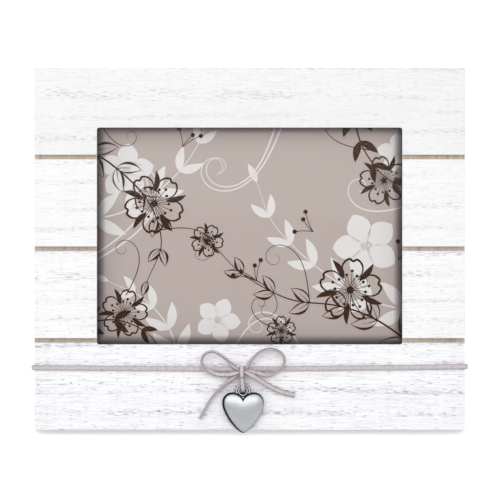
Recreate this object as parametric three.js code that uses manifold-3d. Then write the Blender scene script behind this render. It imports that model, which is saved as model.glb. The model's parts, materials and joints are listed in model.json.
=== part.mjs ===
// A landscape photo frame for a 180 x 130 mm print, standing on its easel leg.
//
// Four rows of thin whitewashed planks are glued to a rebated wooden core of two rails and
// two stiles. Glass, a printed card, a cardboard pad and a hardboard back lie in the rebate
// behind the window, held by six turn buttons. A leg on a riveted hinge with a stop props
// the frame up, and a sawtooth plate hangs it on a wall. A flat suede lace runs round the
// lower planks and is stapled at the back. A bow of the same lace is strapped to it, and a
// cast heart hangs from the strap.
//
// Millimetres. The pieces are drawn on an upright frame: X to the right as seen from the
// front, Y back from the planks' face, Z up from the lower edge. A group then leans it back.
import * as THREE from "three";
import { mergeVertices } from "three/addons/utils/BufferGeometryUtils.js";
import Module from "manifold-3d";

const wasm = await Module();
wasm.setup();

// Print, window and planks
const printWidth = 180;
const printHeight = 130;
const lipOverlap = 3.75; // how far the lip covers the print along each edge
const pocketPlay = 0.5; // room round the glass in the rebate
const stileWidth = 35.4; // face beside the window
const sillHeight = 48.3; // face below the window
const plankHeight = 49.3;
const plankGap = 2.5;
const plankRows = 4;
const plankThickness = 3.5;
const plankEase = 0.5; // rounding of the planks' long front edges
const windowCorner = 1.4; // radius left by the cutter in the window's corners

// Core and what lies in its rebate
const lipThickness = 5.5;
const rebateDepth = 9;
const glassThickness = 2;
const cardThickness = 0.4;
const padInset = 1; // the cardboard pad is this much smaller than the print all round
const boardThickness = 3;
const seat = 0.25; // gap between pieces that touch or are glued

// Turn buttons and their screws
const buttonThickness = 1;
const buttonReach = 15; // screw to the toe's middle
const buttonHeel = 4.5; // radius round the screw
const buttonToe = 3.2; // radius of the toe
const buttonLift = THREE.MathUtils.degToRad(20); // the toe is bent up for a thumb
const buttonLiftLength = 4.5; // how much of the toe is bent up
const buttonInset = 7; // screw to the rebate's edge
const buttonFromCorner = 28.5; // upper and lower buttons, in from the rebate's sides
const screwRadius = 1.5;
const screwHeadRadius = 3.1;
const screwHeadHeight = 1.7;
const screwDepth = 7;
const screwSlotWidth = 0.8;
const screwSlotDepth = 0.8;
const holePlay = 0.25; // radial room round a screw, nail or rivet

// Easel leg and its hinge
const lean = THREE.MathUtils.degToRad(14);
const legOpening = THREE.MathUtils.degToRad(26);
const legThickness = 3;
const legTopWidth = 34;
const legFootWidth = 60;
const legShoulder = 7; // radius of the leg's upper corners
const pinDrop = 24; // upper edge of the back board to the hinge pin
const pinPlay = 0.15;
const pinHeadRadius = 1.7;
const pinHeadLength = 0.8;
const leafThickness = 0.8;
const leafWidth = 28;
const leafLength = 21;
const leafCorner = 2.5;
const knuckleWidth = 10; // the fixed leaf's knuckle, between the leg leaf's two
const knuckleGap = 0.3;
const neckLength = 9; // the fixed leaf's narrow part, between the stop tabs
const rivetRadius = 1.3;
const rivetHeadRadius = 2.6;
const rivetHeadHeight = 0.9;
const rivetTailRadius = 2.1;
const rivetTailLength = 0.8;
const rivetSpread = 8;
const rivetDrop = 14.5; // pin to the rivets, on both leaves

// Sawtooth hanger
const hangerLength = 44;
const hangerHeight = 8;
const hangerThickness = 0.9;
const hangerEnd = 9; // flat end with its nail
const hangerRamp = 2.5;
const hangerRise = 1.6;
const hangerTeeth = 8;
const toothPitch = 2.5;
const toothDepth = 1.5;
const nailRadius = 0.8;
const nailHeadRadius = 1.9;
const nailHeadHeight = 0.7;
const nailDepth = 7;

// Staples: across the core's joints, and over the lace's ends
const stapleWire = 0.6;
const stapleStrip = 1.1; // width of the wire
const stapleLeg = 6;
const cornerStapleSpan = 10;
const cornerStapleInset = 12; // from the frame's side
const laceStapleInset = 16;

// Suede lace round the planks
const laceWidth = 2.8;
const laceThickness = 1.3;
const laceChamfer = 0.3;
const laceTurnIn = 22; // how far the band's ends lie on the back
const bandHeightLeft = 35.2;
const bandHeightRight = 35.8;
const bandHeightKnot = 33.65;
const bandDip = 0.75; // how far the bow's weight pulls the band down at the knot
const bandDipReach = 9;

// The bow's strap, and how the laces are squeezed inside it
const knotX = -4.46;
const knotTop = 36.4;
const knotBottom = 29.5;
const strapThickness = 1;
const strapCorner = 1.6;
const knotSqueeze = 0.6; // width and thickness of a lace inside the strap
const knotInner = 1.8; // either side of the knot's middle the laces are squeezed fully
const squeezeReach = 5; // from the knot's middle to where the laces are full size
const bandRiseReach = 13; // from the knot's middle to where the band lies on the planks

// Heart and its bail
const heartX = -3.7;
const bailZ = 22; // middle of the bail's hole
const bailHoleRadius = 1.78;
const innerBeadRadius = 0.64;
const outerBeadRadius = 0.74;
const heartPlane = 2.75; // the heart's middle plane, in front of the planks
const heartFrontDome = 3;
const heartBackDome = 2.2;
const heartHalfWidth = 11.8;
const lobeX = 5.9;
const lobeTop = 21.4;
const heartWaistZ = 15.3; // where the heart is widest
const heartMiddleZ = 12.5;
const notchZ = 17.5;
const tipZ = -1.6;

// Sizes worked out from those above
const windowWidth = printWidth - 2 * lipOverlap;
const windowHeight = printHeight - 2 * lipOverlap;
const faceWidth = windowWidth + 2 * stileWidth;
const faceHeight = plankRows * plankHeight + (plankRows - 1) * plankGap;
const windowBottom = sillHeight;
const windowTop = windowBottom + windowHeight;
const pocketMargin = lipOverlap + pocketPlay;
const pocketSide = windowWidth / 2 + pocketMargin;
const pocketBottom = windowBottom - pocketMargin;
const pocketTop = windowTop + pocketMargin;
const coreFront = plankThickness + seat;
const lipBack = coreFront + lipThickness;
const backFace = lipBack + rebateDepth;
const glassFront = lipBack + seat;
const cardFront = glassFront + glassThickness + seat;
const boardFront = backFace - boardThickness;
const padFront = cardFront + cardThickness + seat;
const printBottom = pocketBottom + pocketPlay;
const printTop = printBottom + printHeight;
const middleZ = (pocketBottom + pocketTop) / 2;
const buttonSpread = pocketSide - buttonFromCorner;
const circleSteps = 20;

const whitewash = new THREE.MeshStandardMaterial({ color: 0xf3f3f2, roughness: 0.8 });
const rawWood = new THREE.MeshStandardMaterial({ color: 0xcbb59c, roughness: 0.85 });
const clearGlass = new THREE.MeshStandardMaterial({
  color: 0xffffff,
  roughness: 0.05,
  transparent: true,
  opacity: 0.12,
});
const printedCard = new THREE.MeshStandardMaterial({ color: 0xc3b7b2, roughness: 0.7 });
const cardboard = new THREE.MeshStandardMaterial({ color: 0xa9835a, roughness: 0.9 });
const hardboard = new THREE.MeshStandardMaterial({ color: 0x26231f, roughness: 0.75 });
const platedSteel = new THREE.MeshStandardMaterial({
  color: 0xb9bbbd,
  roughness: 0.35,
  metalness: 1,
});
const suede = new THREE.MeshStandardMaterial({ color: 0xc2b4b3, roughness: 0.95 });
const castPewter = new THREE.MeshStandardMaterial({
  color: 0xb3babb,
  roughness: 0.3,
  metalness: 1,
});

// A closed geometry becomes a solid that can be cut and joined, and turns back into one.
function solid(geometry) {
  const bare = geometry.index ? geometry.toNonIndexed() : geometry.clone();
  bare.deleteAttribute("normal");
  bare.deleteAttribute("uv");
  const merged = mergeVertices(bare, 1e-4);
  const triangles = new Uint32Array(merged.index.array);
  if (signedVolume(merged) < 0) {
    triangles.reverse();
  }
  return new wasm.Manifold(
    new wasm.Mesh({
      numProp: 3,
      vertProperties: merged.attributes.position.array,
      triVerts: triangles,
    }),
  );
}

function signedVolume(geometry) {
  const corner = [0, 1, 2].map(() => new THREE.Vector3());
  let volume = 0;
  for (let i = 0; i < geometry.index.count; i += 3) {
    corner.forEach((v, k) =>
      v.fromBufferAttribute(geometry.attributes.position, geometry.index.getX(i + k)),
    );
    volume += corner[0].dot(corner[1].cross(corner[2])) / 6;
  }
  return volume;
}

function geometryOf(made) {
  const mesh = made.getMesh();
  const geometry = new THREE.BufferGeometry();
  geometry.setAttribute("position", new THREE.BufferAttribute(mesh.vertProperties, 3));
  geometry.setIndex(new THREE.BufferAttribute(mesh.triVerts, 1));
  const faceted = geometry.toNonIndexed();
  faceted.computeVertexNormals();
  return faceted;
}

const cutAll = (body, cutters) => cutters.reduce((left, cutter) => left.subtract(cutter), body);
const joinAll = (pieces) => pieces.reduce((joined, extra) => joined.add(extra));

// Solids named by their lowest and highest X, Y and Z
function block(x0, x1, y0, y1, z0, z1) {
  const geometry = new THREE.BoxGeometry(x1 - x0, y1 - y0, z1 - z0);
  return solid(geometry.translate((x0 + x1) / 2, (y0 + y1) / 2, (z0 + z1) / 2));
}

const extrude = (shape, depth) =>
  new THREE.ExtrudeGeometry(shape, { depth, bevelEnabled: false, curveSegments: circleSteps / 4 });

// A shape drawn as seen from the front, given its thickness from y0 back to y1
const frontPrism = (shape, y0, y1) =>
  solid(extrude(shape, y1 - y0).rotateX(Math.PI / 2).translate(0, y1, 0));

// A shape drawn as seen from the right, its first axis running back, from x0 to x1
function sidePrism(shape, x0, x1) {
  const turn = new THREE.Matrix4().makeBasis(
    new THREE.Vector3(0, 1, 0),
    new THREE.Vector3(0, 0, 1),
    new THREE.Vector3(1, 0, 0),
  );
  return solid(extrude(shape, x1 - x0).applyMatrix4(turn).translate(x0, 0, 0));
}

// A shape drawn as seen from above, from z0 up to z1
const planPrism = (shape, z0, z1) => solid(extrude(shape, z1 - z0).translate(0, 0, z0));

const outline = (points) => new THREE.Shape(points.map(([a, b]) => new THREE.Vector2(a, b)));

function roundedRectangle(a0, a1, b0, b1, radius, path = new THREE.Shape()) {
  path.moveTo(a0 + radius, b0);
  path.lineTo(a1 - radius, b0);
  path.absarc(a1 - radius, b0 + radius, radius, -Math.PI / 2, 0);
  path.lineTo(a1, b1 - radius);
  path.absarc(a1 - radius, b1 - radius, radius, 0, Math.PI / 2);
  path.lineTo(a0 + radius, b1);
  path.absarc(a0 + radius, b1 - radius, radius, Math.PI / 2, Math.PI);
  path.lineTo(a0, b0 + radius);
  path.absarc(a0 + radius, b0 + radius, radius, Math.PI, 1.5 * Math.PI);
  return path;
}

// A round solid on an axis that runs front to back at x, z: [radius, y] pairs, front first
function turned(profile, x = 0, z = 0) {
  const points = profile.map(([radius, y]) => new THREE.Vector2(radius, y));
  return solid(new THREE.LatheGeometry(points, circleSteps).translate(x, 0, z));
}

const drilled = (radius, y0, y1, x, z) =>
  turned([[0, y0], [radius, y0], [radius, y1], [0, y1]], x, z);

const assembly = new THREE.Group();
const leaning = new THREE.Group();
assembly.add(leaning);

function piece(name, made, material, parent = leaning) {
  const mesh = new THREE.Mesh(made.isBufferGeometry ? made : geometryOf(made), material);
  mesh.name = name;
  parent.add(mesh);
  return mesh;
}

// Face planks: four rows with open gaps, cut through by the window.
const windowCutter = frontPrism(
  roundedRectangle(-windowWidth / 2, windowWidth / 2, windowBottom, windowTop, windowCorner),
  -1,
  coreFront,
);

function plank(row, x0, x1) {
  const bottom = row * (plankHeight + plankGap);
  const top = bottom + plankHeight;
  const section = new THREE.Shape();
  section.moveTo(plankThickness, bottom);
  section.lineTo(plankThickness, top);
  section.lineTo(plankEase, top);
  section.absarc(plankEase, top - plankEase, plankEase, Math.PI / 2, Math.PI);
  section.lineTo(0, bottom + plankEase);
  section.absarc(plankEase, bottom + plankEase, plankEase, Math.PI, 1.5 * Math.PI);
  return sidePrism(section, x0, x1).subtract(windowCutter);
}

piece("plank_bottom", plank(0, -faceWidth / 2, faceWidth / 2), whitewash);
piece("plank_lower_left", plank(1, -faceWidth / 2, -windowWidth / 2), whitewash);
piece("plank_lower_right", plank(1, windowWidth / 2, faceWidth / 2), whitewash);
piece("plank_upper_left", plank(2, -faceWidth / 2, -windowWidth / 2), whitewash);
piece("plank_upper_right", plank(2, windowWidth / 2, faceWidth / 2), whitewash);
piece("plank_top", plank(plankRows - 1, -faceWidth / 2, faceWidth / 2), whitewash);

// Where the fasteners go, so that the core is drilled for exactly those.
const buttonPlaces = [
  { name: "top_left", x: -buttonSpread, z: pocketTop + buttonInset, turn: -Math.PI / 2 },
  { name: "top_right", x: buttonSpread, z: pocketTop + buttonInset, turn: -Math.PI / 2 },
  { name: "bottom_left", x: -buttonSpread, z: pocketBottom - buttonInset, turn: Math.PI / 2 },
  { name: "bottom_right", x: buttonSpread, z: pocketBottom - buttonInset, turn: Math.PI / 2 },
  { name: "left", x: -pocketSide - buttonInset, z: middleZ, turn: 0 },
  { name: "right", x: pocketSide + buttonInset, z: middleZ, turn: Math.PI },
];
const cornerStapleX = faceWidth / 2 - cornerStapleInset;
const laceStapleX = faceWidth / 2 - laceStapleInset;
const laceStapleSpan = laceWidth + 2 * (stapleWire + seat);
const staples = [
  { name: "corner_top_left", x: -cornerStapleX, z: windowTop, span: cornerStapleSpan },
  { name: "corner_top_right", x: cornerStapleX, z: windowTop, span: cornerStapleSpan },
  { name: "corner_bottom_left", x: -cornerStapleX, z: windowBottom, span: cornerStapleSpan },
  { name: "corner_bottom_right", x: cornerStapleX, z: windowBottom, span: cornerStapleSpan },
  { name: "lace_left", x: -laceStapleX, z: bandHeightLeft, span: laceStapleSpan, over: true },
  { name: "lace_right", x: laceStapleX, z: bandHeightRight, span: laceStapleSpan, over: true },
];
const hangerZ = (pocketTop + faceHeight) / 2;
const nailX = hangerLength / 2 - hangerEnd / 2;

function stapleSlots({ x, z, span }) {
  const middle = span / 2 - stapleWire / 2;
  return [z - middle, z + middle].map((at) =>
    block(
      x - stapleStrip / 2 - holePlay,
      x + stapleStrip / 2 + holePlay,
      backFace - stapleLeg - seat,
      backFace + 1,
      at - stapleWire / 2 - holePlay,
      at + stapleWire / 2 + holePlay,
    ),
  );
}

// Core: two full-width rails and two stiles between them, rebated at the back.
const coreCutters = [
  block(-windowWidth / 2, windowWidth / 2, 0, lipBack + 1, windowBottom, windowTop),
  block(-pocketSide, pocketSide, lipBack, backFace + 1, pocketBottom, pocketTop),
  ...buttonPlaces.map(({ x, z }) =>
    drilled(screwRadius + holePlay, backFace - screwDepth - seat, backFace + 1, x, z),
  ),
  ...staples.flatMap(stapleSlots),
  ...[-nailX, nailX].map((x) =>
    drilled(nailRadius + holePlay, backFace - nailDepth - seat, backFace + 1, x, hangerZ),
  ),
];

const coreBar = (x0, x1, z0, z1) =>
  cutAll(block(x0, x1, coreFront, backFace, z0, z1), coreCutters);

piece("rail_top", coreBar(-faceWidth / 2, faceWidth / 2, windowTop, faceHeight), rawWood);
piece("rail_bottom", coreBar(-faceWidth / 2, faceWidth / 2, 0, windowBottom), rawWood);
const stileBottom = windowBottom + seat;
const stileTop = windowTop - seat;
piece("stile_left", coreBar(-faceWidth / 2, -windowWidth / 2, stileBottom, stileTop), rawWood);
piece("stile_right", coreBar(windowWidth / 2, faceWidth / 2, stileBottom, stileTop), rawWood);

// What lies in the rebate: glass, card and pad, and the back board further down.
function sheet(inset, y0, y1) {
  const half = printWidth / 2 - inset;
  return block(-half, half, y0, y1, printBottom + inset, printTop - inset);
}

piece("glass", sheet(0, glassFront, glassFront + glassThickness), clearGlass);
piece("card", sheet(0, cardFront, cardFront + cardThickness), printedCard);
piece("pad", sheet(padInset, padFront, boardFront - seat), cardboard);

// Turn buttons: flat steel with a round heel and a toe bent up for a thumb.
const buttonFront = backFace + seat;
const buttonBack = buttonFront + buttonThickness;

function buttonGeometry() {
  const slope = Math.acos((buttonHeel - buttonToe) / buttonReach);
  const shape = new THREE.Shape();
  shape.absarc(0, 0, buttonHeel, slope, 2 * Math.PI - slope);
  shape.absarc(buttonReach, 0, buttonToe, 2 * Math.PI - slope, 2 * Math.PI + slope);
  const hole = new THREE.Path();
  hole.absarc(0, 0, screwRadius + holePlay, 0, 2 * Math.PI, true);
  shape.holes.push(hole);
  const bend = buttonReach + buttonToe - buttonLiftLength;
  const whole = frontPrism(shape, 0, buttonThickness);
  const beyond = block(bend, bend + 20, -1, buttonThickness + 1, -10, 10);
  const toe = geometryOf(whole.intersect(beyond));
  toe.translate(-bend, 0, 0).rotateZ(buttonLift).translate(bend, 0, 0);
  return geometryOf(whole.subtract(beyond).add(solid(toe)));
}

// A slotted pan-head screw, its slot across the button
function panScrew() {
  const under = buttonBack + seat;
  const top = under + screwHeadHeight;
  const slotHalf = screwSlotWidth / 2;
  return turned([
    [0, backFace - screwDepth],
    [screwRadius * 0.5, backFace - screwDepth],
    [screwRadius, backFace - screwDepth + 1.5],
    [screwRadius, under],
    [screwHeadRadius, under],
    [screwHeadRadius, under + 0.5 * screwHeadHeight],
    [screwHeadRadius * 0.78, under + 0.88 * screwHeadHeight],
    [screwHeadRadius * 0.35, top],
    [0, top],
  ]).subtract(
    block(-slotHalf, slotHalf, top - screwSlotDepth, top + 1, -screwHeadRadius, screwHeadRadius),
  );
}

for (const { name, x, z, turn } of buttonPlaces) {
  const button = piece(`button_${name}`, buttonGeometry(), platedSteel);
  button.position.set(x, buttonFront, z);
  button.rotation.y = -turn;
  const screw = piece(`screw_${name}`, panScrew(), platedSteel);
  screw.position.set(x, 0, z);
}

// Staples, driven into the back with the crown running up the frame.
function staple({ x, z, span, over }) {
  const half = span / 2;
  const tip = backFace - stapleLeg;
  const crown = backFace + seat + (over ? laceThickness + seat : 0);
  const section = outline([
    [tip, z - half],
    [crown + stapleWire, z - half],
    [crown + stapleWire, z + half],
    [tip, z + half],
    [tip, z + half - stapleWire],
    [crown, z + half - stapleWire],
    [crown, z - half + stapleWire],
    [tip, z - half + stapleWire],
  ]);
  return sidePrism(section, x - stapleStrip / 2, x + stapleStrip / 2);
}

for (const at of staples) {
  piece(`staple_${at.name}`, staple(at), platedSteel);
}

// Sawtooth hanger: a strip raised off the rail between its nailed ends, teeth below.
function sawtoothHanger() {
  const end = hangerLength / 2;
  const foot = end - hangerEnd;
  const raised = foot - hangerRamp;
  const low = backFace + seat;
  const high = low + hangerRise;
  const strip = outline([
    [-end, low],
    [-foot, low],
    [-raised, high],
    [raised, high],
    [foot, low],
    [end, low],
    [end, low + hangerThickness],
    [foot, low + hangerThickness],
    [raised, high + hangerThickness],
    [-raised, high + hangerThickness],
    [-foot, low + hangerThickness],
    [-end, low + hangerThickness],
  ]);
  const bottom = hangerZ - hangerHeight / 2;
  const top = hangerZ + hangerHeight / 2;
  const rounded = frontPrism(roundedRectangle(-end, end, bottom, top, 2), low - 1, high + 3);
  const teeth = Array.from({ length: hangerTeeth }, (_, i) => {
    const middle = (i - (hangerTeeth - 1) / 2) * toothPitch;
    const notch = outline([
      [middle - toothPitch / 2, bottom - 0.5],
      [middle + toothPitch / 2, bottom - 0.5],
      [middle, bottom + toothDepth],
    ]);
    return frontPrism(notch, low - 1, high + 3);
  });
  const holes = [-nailX, nailX].map((x) =>
    drilled(nailRadius + holePlay, low - 1, low + 3, x, hangerZ),
  );
  return cutAll(planPrism(strip, bottom, top).intersect(rounded), [...teeth, ...holes]);
}

function hangerNail(x) {
  const under = backFace + seat + hangerThickness + seat;
  return turned([
    [0, backFace - nailDepth],
    [nailRadius, backFace - nailDepth + 1.5],
    [nailRadius, under],
    [nailHeadRadius, under],
    [nailHeadRadius * 0.8, under + nailHeadHeight],
    [0, under + nailHeadHeight],
  ], x, hangerZ);
}

piece("hanger_plate", sawtoothHanger(), platedSteel);
piece("hanger_nail_left", hangerNail(-nailX), platedSteel);
piece("hanger_nail_right", hangerNail(nailX), platedSteel);

// Back board, its easel hinge and the leg. Both leaves of the hinge roll round one pin, the
// fixed leaf against the board and the leg leaf on the leg, so the leg folds flat. The leg
// leaf's two tabs reach past the pin and meet the board when the leg is open.
const knuckleRadius = (legThickness + seat + leafThickness) / 2;
const pinRadius = knuckleRadius - leafThickness - pinPlay;
const pinY = backFace + seat + knuckleRadius;
const pinZ = printTop - pinDrop;
const legFront = -knuckleRadius;
const legBack = legFront + legThickness;
const leafFront = legBack + seat;
// The tabs' ends meet the board when the leg is open
const stopTab = (leafFront * Math.cos(legOpening) + knuckleRadius) / Math.sin(legOpening);

// A rivet whose head lies on outer and whose flared tail is sunk in inner. With play it is
// the hole for one.
function rivet(inner, outer, x, z, play = 0) {
  const tail = play ? inner - 1 : inner + seat;
  const flare = inner + seat + rivetTailLength + play;
  const radius = rivetRadius + play;
  const flared = [[0, tail], [rivetTailRadius + play, tail]];
  if (play) {
    const straight = [rivetTailRadius + play, inner + seat + play];
    return turned([...flared, straight, [radius, flare], [radius, outer + 1], [0, outer + 1]], x, z);
  }
  const head = outer + seat;
  return turned([
    ...flared,
    [radius, flare],
    [radius, head],
    [rivetHeadRadius, head],
    [rivetHeadRadius * 0.75, head + 0.7 * rivetHeadHeight],
    [rivetHeadRadius * 0.3, head + rivetHeadHeight],
    [0, head + rivetHeadHeight],
  ], x, z);
}

const rivetX = [-rivetSpread, rivetSpread];
const boardRivets = rivetX.map((x) =>
  rivet(boardFront, backFace + seat, x, pinZ + rivetDrop, holePlay),
);
piece("back_board", cutAll(sheet(0, boardFront, backFace), boardRivets), hardboard);

// One knuckle of the hinge, rolled round the pin between x0 and x1
function knuckle(x0, x1) {
  const ring = new THREE.Shape();
  ring.absarc(0, 0, knuckleRadius, 0, 2 * Math.PI);
  const bore = new THREE.Path();
  bore.absarc(0, 0, pinRadius + pinPlay, 0, 2 * Math.PI, true);
  ring.holes.push(bore);
  return sidePrism(ring, x0, x1);
}

function fixedLeaf() {
  const half = knuckleWidth / 2;
  const wide = roundedRectangle(-leafWidth / 2, leafWidth / 2, neckLength, leafLength, leafCorner);
  const y0 = -knuckleRadius;
  const y1 = y0 + leafThickness;
  const neck = block(-half, half, y0, y1, 0, neckLength + leafCorner);
  const bore = new THREE.Shape();
  bore.absarc(0, 0, pinRadius + pinPlay, 0, 2 * Math.PI);
  const leaf = joinAll([frontPrism(wide, y0, y1), neck, knuckle(-half, half)]);
  const holes = rivetX.map((x) => drilled(rivetRadius + holePlay, y0 - 1, y1 + 1, x, rivetDrop));
  return cutAll(leaf, [sidePrism(bore, -half - 1, half + 1), ...holes]);
}

function legLeaf() {
  const half = leafWidth / 2;
  const inner = knuckleWidth / 2 + knuckleGap;
  const y0 = leafFront;
  const y1 = y0 + leafThickness;
  const plate = frontPrism(
    roundedRectangle(-half, half, -leafLength, stopTab, leafCorner / 2), y0, y1,
  );
  const clearance = knuckleRadius + knuckleGap;
  const notch = block(-inner, inner, y0 - 1, y1 + 1, -clearance, stopTab + 1);
  const bore = new THREE.Shape();
  bore.absarc(0, 0, pinRadius + pinPlay, 0, 2 * Math.PI);
  const leaf = joinAll([plate.subtract(notch), knuckle(-half, -inner), knuckle(inner, half)]);
  const holes = rivetX.map((x) => drilled(rivetRadius + holePlay, y0 - 1, y1 + 1, x, -rivetDrop));
  return cutAll(leaf, [sidePrism(bore, -half - 1, half + 1), ...holes]);
}

function hingePin() {
  const end = leafWidth / 2 + seat;
  const profile = [
    [0, -end - pinHeadLength],
    [pinHeadRadius, -end - pinHeadLength],
    [pinHeadRadius, -end],
    [pinRadius, -end],
    [pinRadius, end],
    [pinHeadRadius, end],
    [pinHeadRadius, end + pinHeadLength],
    [0, end + pinHeadLength],
  ].map(([radius, y]) => new THREE.Vector2(radius, y));
  return solid(new THREE.LatheGeometry(profile, circleSteps).rotateZ(Math.PI / 2));
}

const hinge = new THREE.Group();
hinge.position.set(0, pinY, pinZ);
leaning.add(hinge);
const leg = new THREE.Group();
leg.rotation.x = legOpening;
hinge.add(leg);

piece("hinge_leaf_board", fixedLeaf(), platedSteel, hinge);
piece("hinge_pin", hingePin(), platedSteel, hinge);
const boardInner = boardFront - pinY;
const boardOuter = -knuckleRadius + leafThickness;
piece("rivet_board_left", rivet(boardInner, boardOuter, -rivetSpread, rivetDrop), platedSteel, hinge);
piece("rivet_board_right", rivet(boardInner, boardOuter, rivetSpread, rivetDrop), platedSteel, hinge);

// Leg: tapered board with round shoulders, its foot cut to stand flat when it is open.
const legTilt = legOpening - lean;
const pinHeight = (backFace - pinY) * Math.sin(lean) + pinZ * Math.cos(lean);
const footAt = (y) => -(pinHeight + y * Math.sin(legTilt)) / Math.cos(legTilt);

function legBoard() {
  const top = -knuckleRadius - knuckleGap;
  const bottom = footAt(legBack);
  const side = outline([
    [legFront, top],
    [legBack, top],
    [legBack, footAt(legBack)],
    [legFront, footAt(legFront)],
  ]);
  const halfTop = legTopWidth / 2;
  const halfFoot = legFootWidth / 2;
  const face = new THREE.Shape();
  face.moveTo(-halfFoot, bottom - 2);
  face.lineTo(halfFoot, bottom - 2);
  face.lineTo(halfTop, top - legShoulder);
  face.quadraticCurveTo(halfTop, top, halfTop - legShoulder, top);
  face.lineTo(-halfTop + legShoulder, top);
  face.quadraticCurveTo(-halfTop, top, -halfTop, top - legShoulder);
  const holes = rivetX.map((x) => rivet(legFront, legBack + seat, x, -rivetDrop, holePlay));
  const tapered = sidePrism(side, -halfFoot, halfFoot).intersect(
    frontPrism(face, legFront - 1, legBack + 1),
  );
  return cutAll(tapered, holes);
}

piece("leg_board", legBoard(), hardboard, leg);
piece("hinge_leaf_leg", legLeaf(), platedSteel, leg);
const legOuter = leafFront + leafThickness;
piece("rivet_leg_left", rivet(legFront, legOuter, -rivetSpread, -rivetDrop), platedSteel, leg);
piece("rivet_leg_right", rivet(legFront, legOuter, rivetSpread, -rivetDrop), platedSteel, leg);

// Suede lace. A lace is a flat section carried along rings. Each ring has its place, the
// direction that the lace's width takes there, and how much it is squeezed.
class LaceRoute extends THREE.Curve {
  constructor(rings) {
    super();
    this.rings = rings;
  }

  getSpacedPoints() {
    return this.rings.map((ring) => ring.at);
  }

  computeFrenetFrames() {
    const frames = { tangents: [], normals: [], binormals: [] };
    this.rings.forEach((ring, i) => {
      const before = this.rings[Math.max(i - 1, 0)].at;
      const after = this.rings[Math.min(i + 1, this.rings.length - 1)].at;
      const tangent = after.clone().sub(before).normalize();
      const width = ring.across.clone().addScaledVector(tangent, -ring.across.dot(tangent));
      width.normalize();
      frames.tangents.push(tangent);
      frames.normals.push(width.clone().cross(tangent).multiplyScalar(ring.squeeze));
      frames.binormals.push(width.multiplyScalar(ring.squeeze));
    });
    return frames;
  }
}

function lace(rings) {
  const t = laceThickness / 2;
  const w = laceWidth / 2;
  const c = laceChamfer;
  const section = outline([
    [-t, -w + c],
    [-t + c, -w],
    [t - c, -w],
    [t, -w + c],
    [t, w - c],
    [t - c, w],
    [-t + c, w],
    [-t, w - c],
  ]);
  const extrudePath = new LaceRoute(rings);
  return solid(new THREE.ExtrudeGeometry(section, { steps: rings.length - 1, extrudePath }));
}

// 1 within inner of the knot's middle, falling to 0 at outer
const nearKnot = (x, inner, outer) =>
  1 - THREE.MathUtils.smoothstep(Math.abs(x - knotX), inner, outer);

// Size of a lace at x, as a share of its full size. Every lace that is squeezed crosses the
// knot's x only inside the strap, so x alone tells where that is.
const squeezeAt = (x) => 1 - (1 - knotSqueeze) * nearKnot(x, knotInner, squeezeReach);

// How far in front of the planks the middle of each layer lies inside the strap
const squeezedThickness = laceThickness * knotSqueeze;
const knotLayer = (layer) =>
  seat + strapThickness + seat + squeezedThickness / 2 + layer * (squeezedThickness + seat);
const strapReach = knotLayer(3) + squeezedThickness / 2 + seat + strapThickness;

// The band: along the back, round the left edge, across the front and round the right.
function bandRings() {
  const off = seat + laceThickness / 2;
  const side = faceWidth / 2;
  const rings = [];
  const ring = (x, y, z, squeeze = 1) =>
    rings.push({ at: new THREE.Vector3(x, y, z), across: new THREE.Vector3(0, 0, 1), squeeze });
  const corner = (x, y, from, z) => {
    for (let i = 0; i <= 4; i += 1) {
      const angle = from + (i / 4) * (Math.PI / 2);
      ring(x + off * Math.cos(angle), y + off * Math.sin(angle), z);
    }
  };
  ring(-side + laceTurnIn, backFace + off, bandHeightLeft);
  corner(-side, backFace, Math.PI / 2, bandHeightLeft);
  corner(-side, 0, Math.PI, bandHeightLeft);
  for (const step of [-60, -13, -10.5, -8, -6, -4.5, -3, -1.6, 1.6, 3, 4.5, 6, 8, 10.5, 13, 60]) {
    const x = knotX + step;
    const end = step < 0 ? bandHeightLeft : bandHeightRight;
    const reach = side - Math.sign(step) * knotX;
    const base = THREE.MathUtils.lerp(bandHeightKnot + bandDip, end, Math.abs(step) / reach);
    const z = base - bandDip * nearKnot(x, knotInner, bandDipReach);
    const rise = (knotLayer(0) - off) * nearKnot(x, knotInner, bandRiseReach);
    ring(x, -(off + rise), z, squeezeAt(x));
  }
  corner(side, 0, -Math.PI / 2, bandHeightRight);
  corner(side, backFace, 0, bandHeightRight);
  ring(side - laceTurnIn, backFace + off, bandHeightRight);
  return rings;
}

piece("lace_band", lace(bandRings()), suede);

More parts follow.
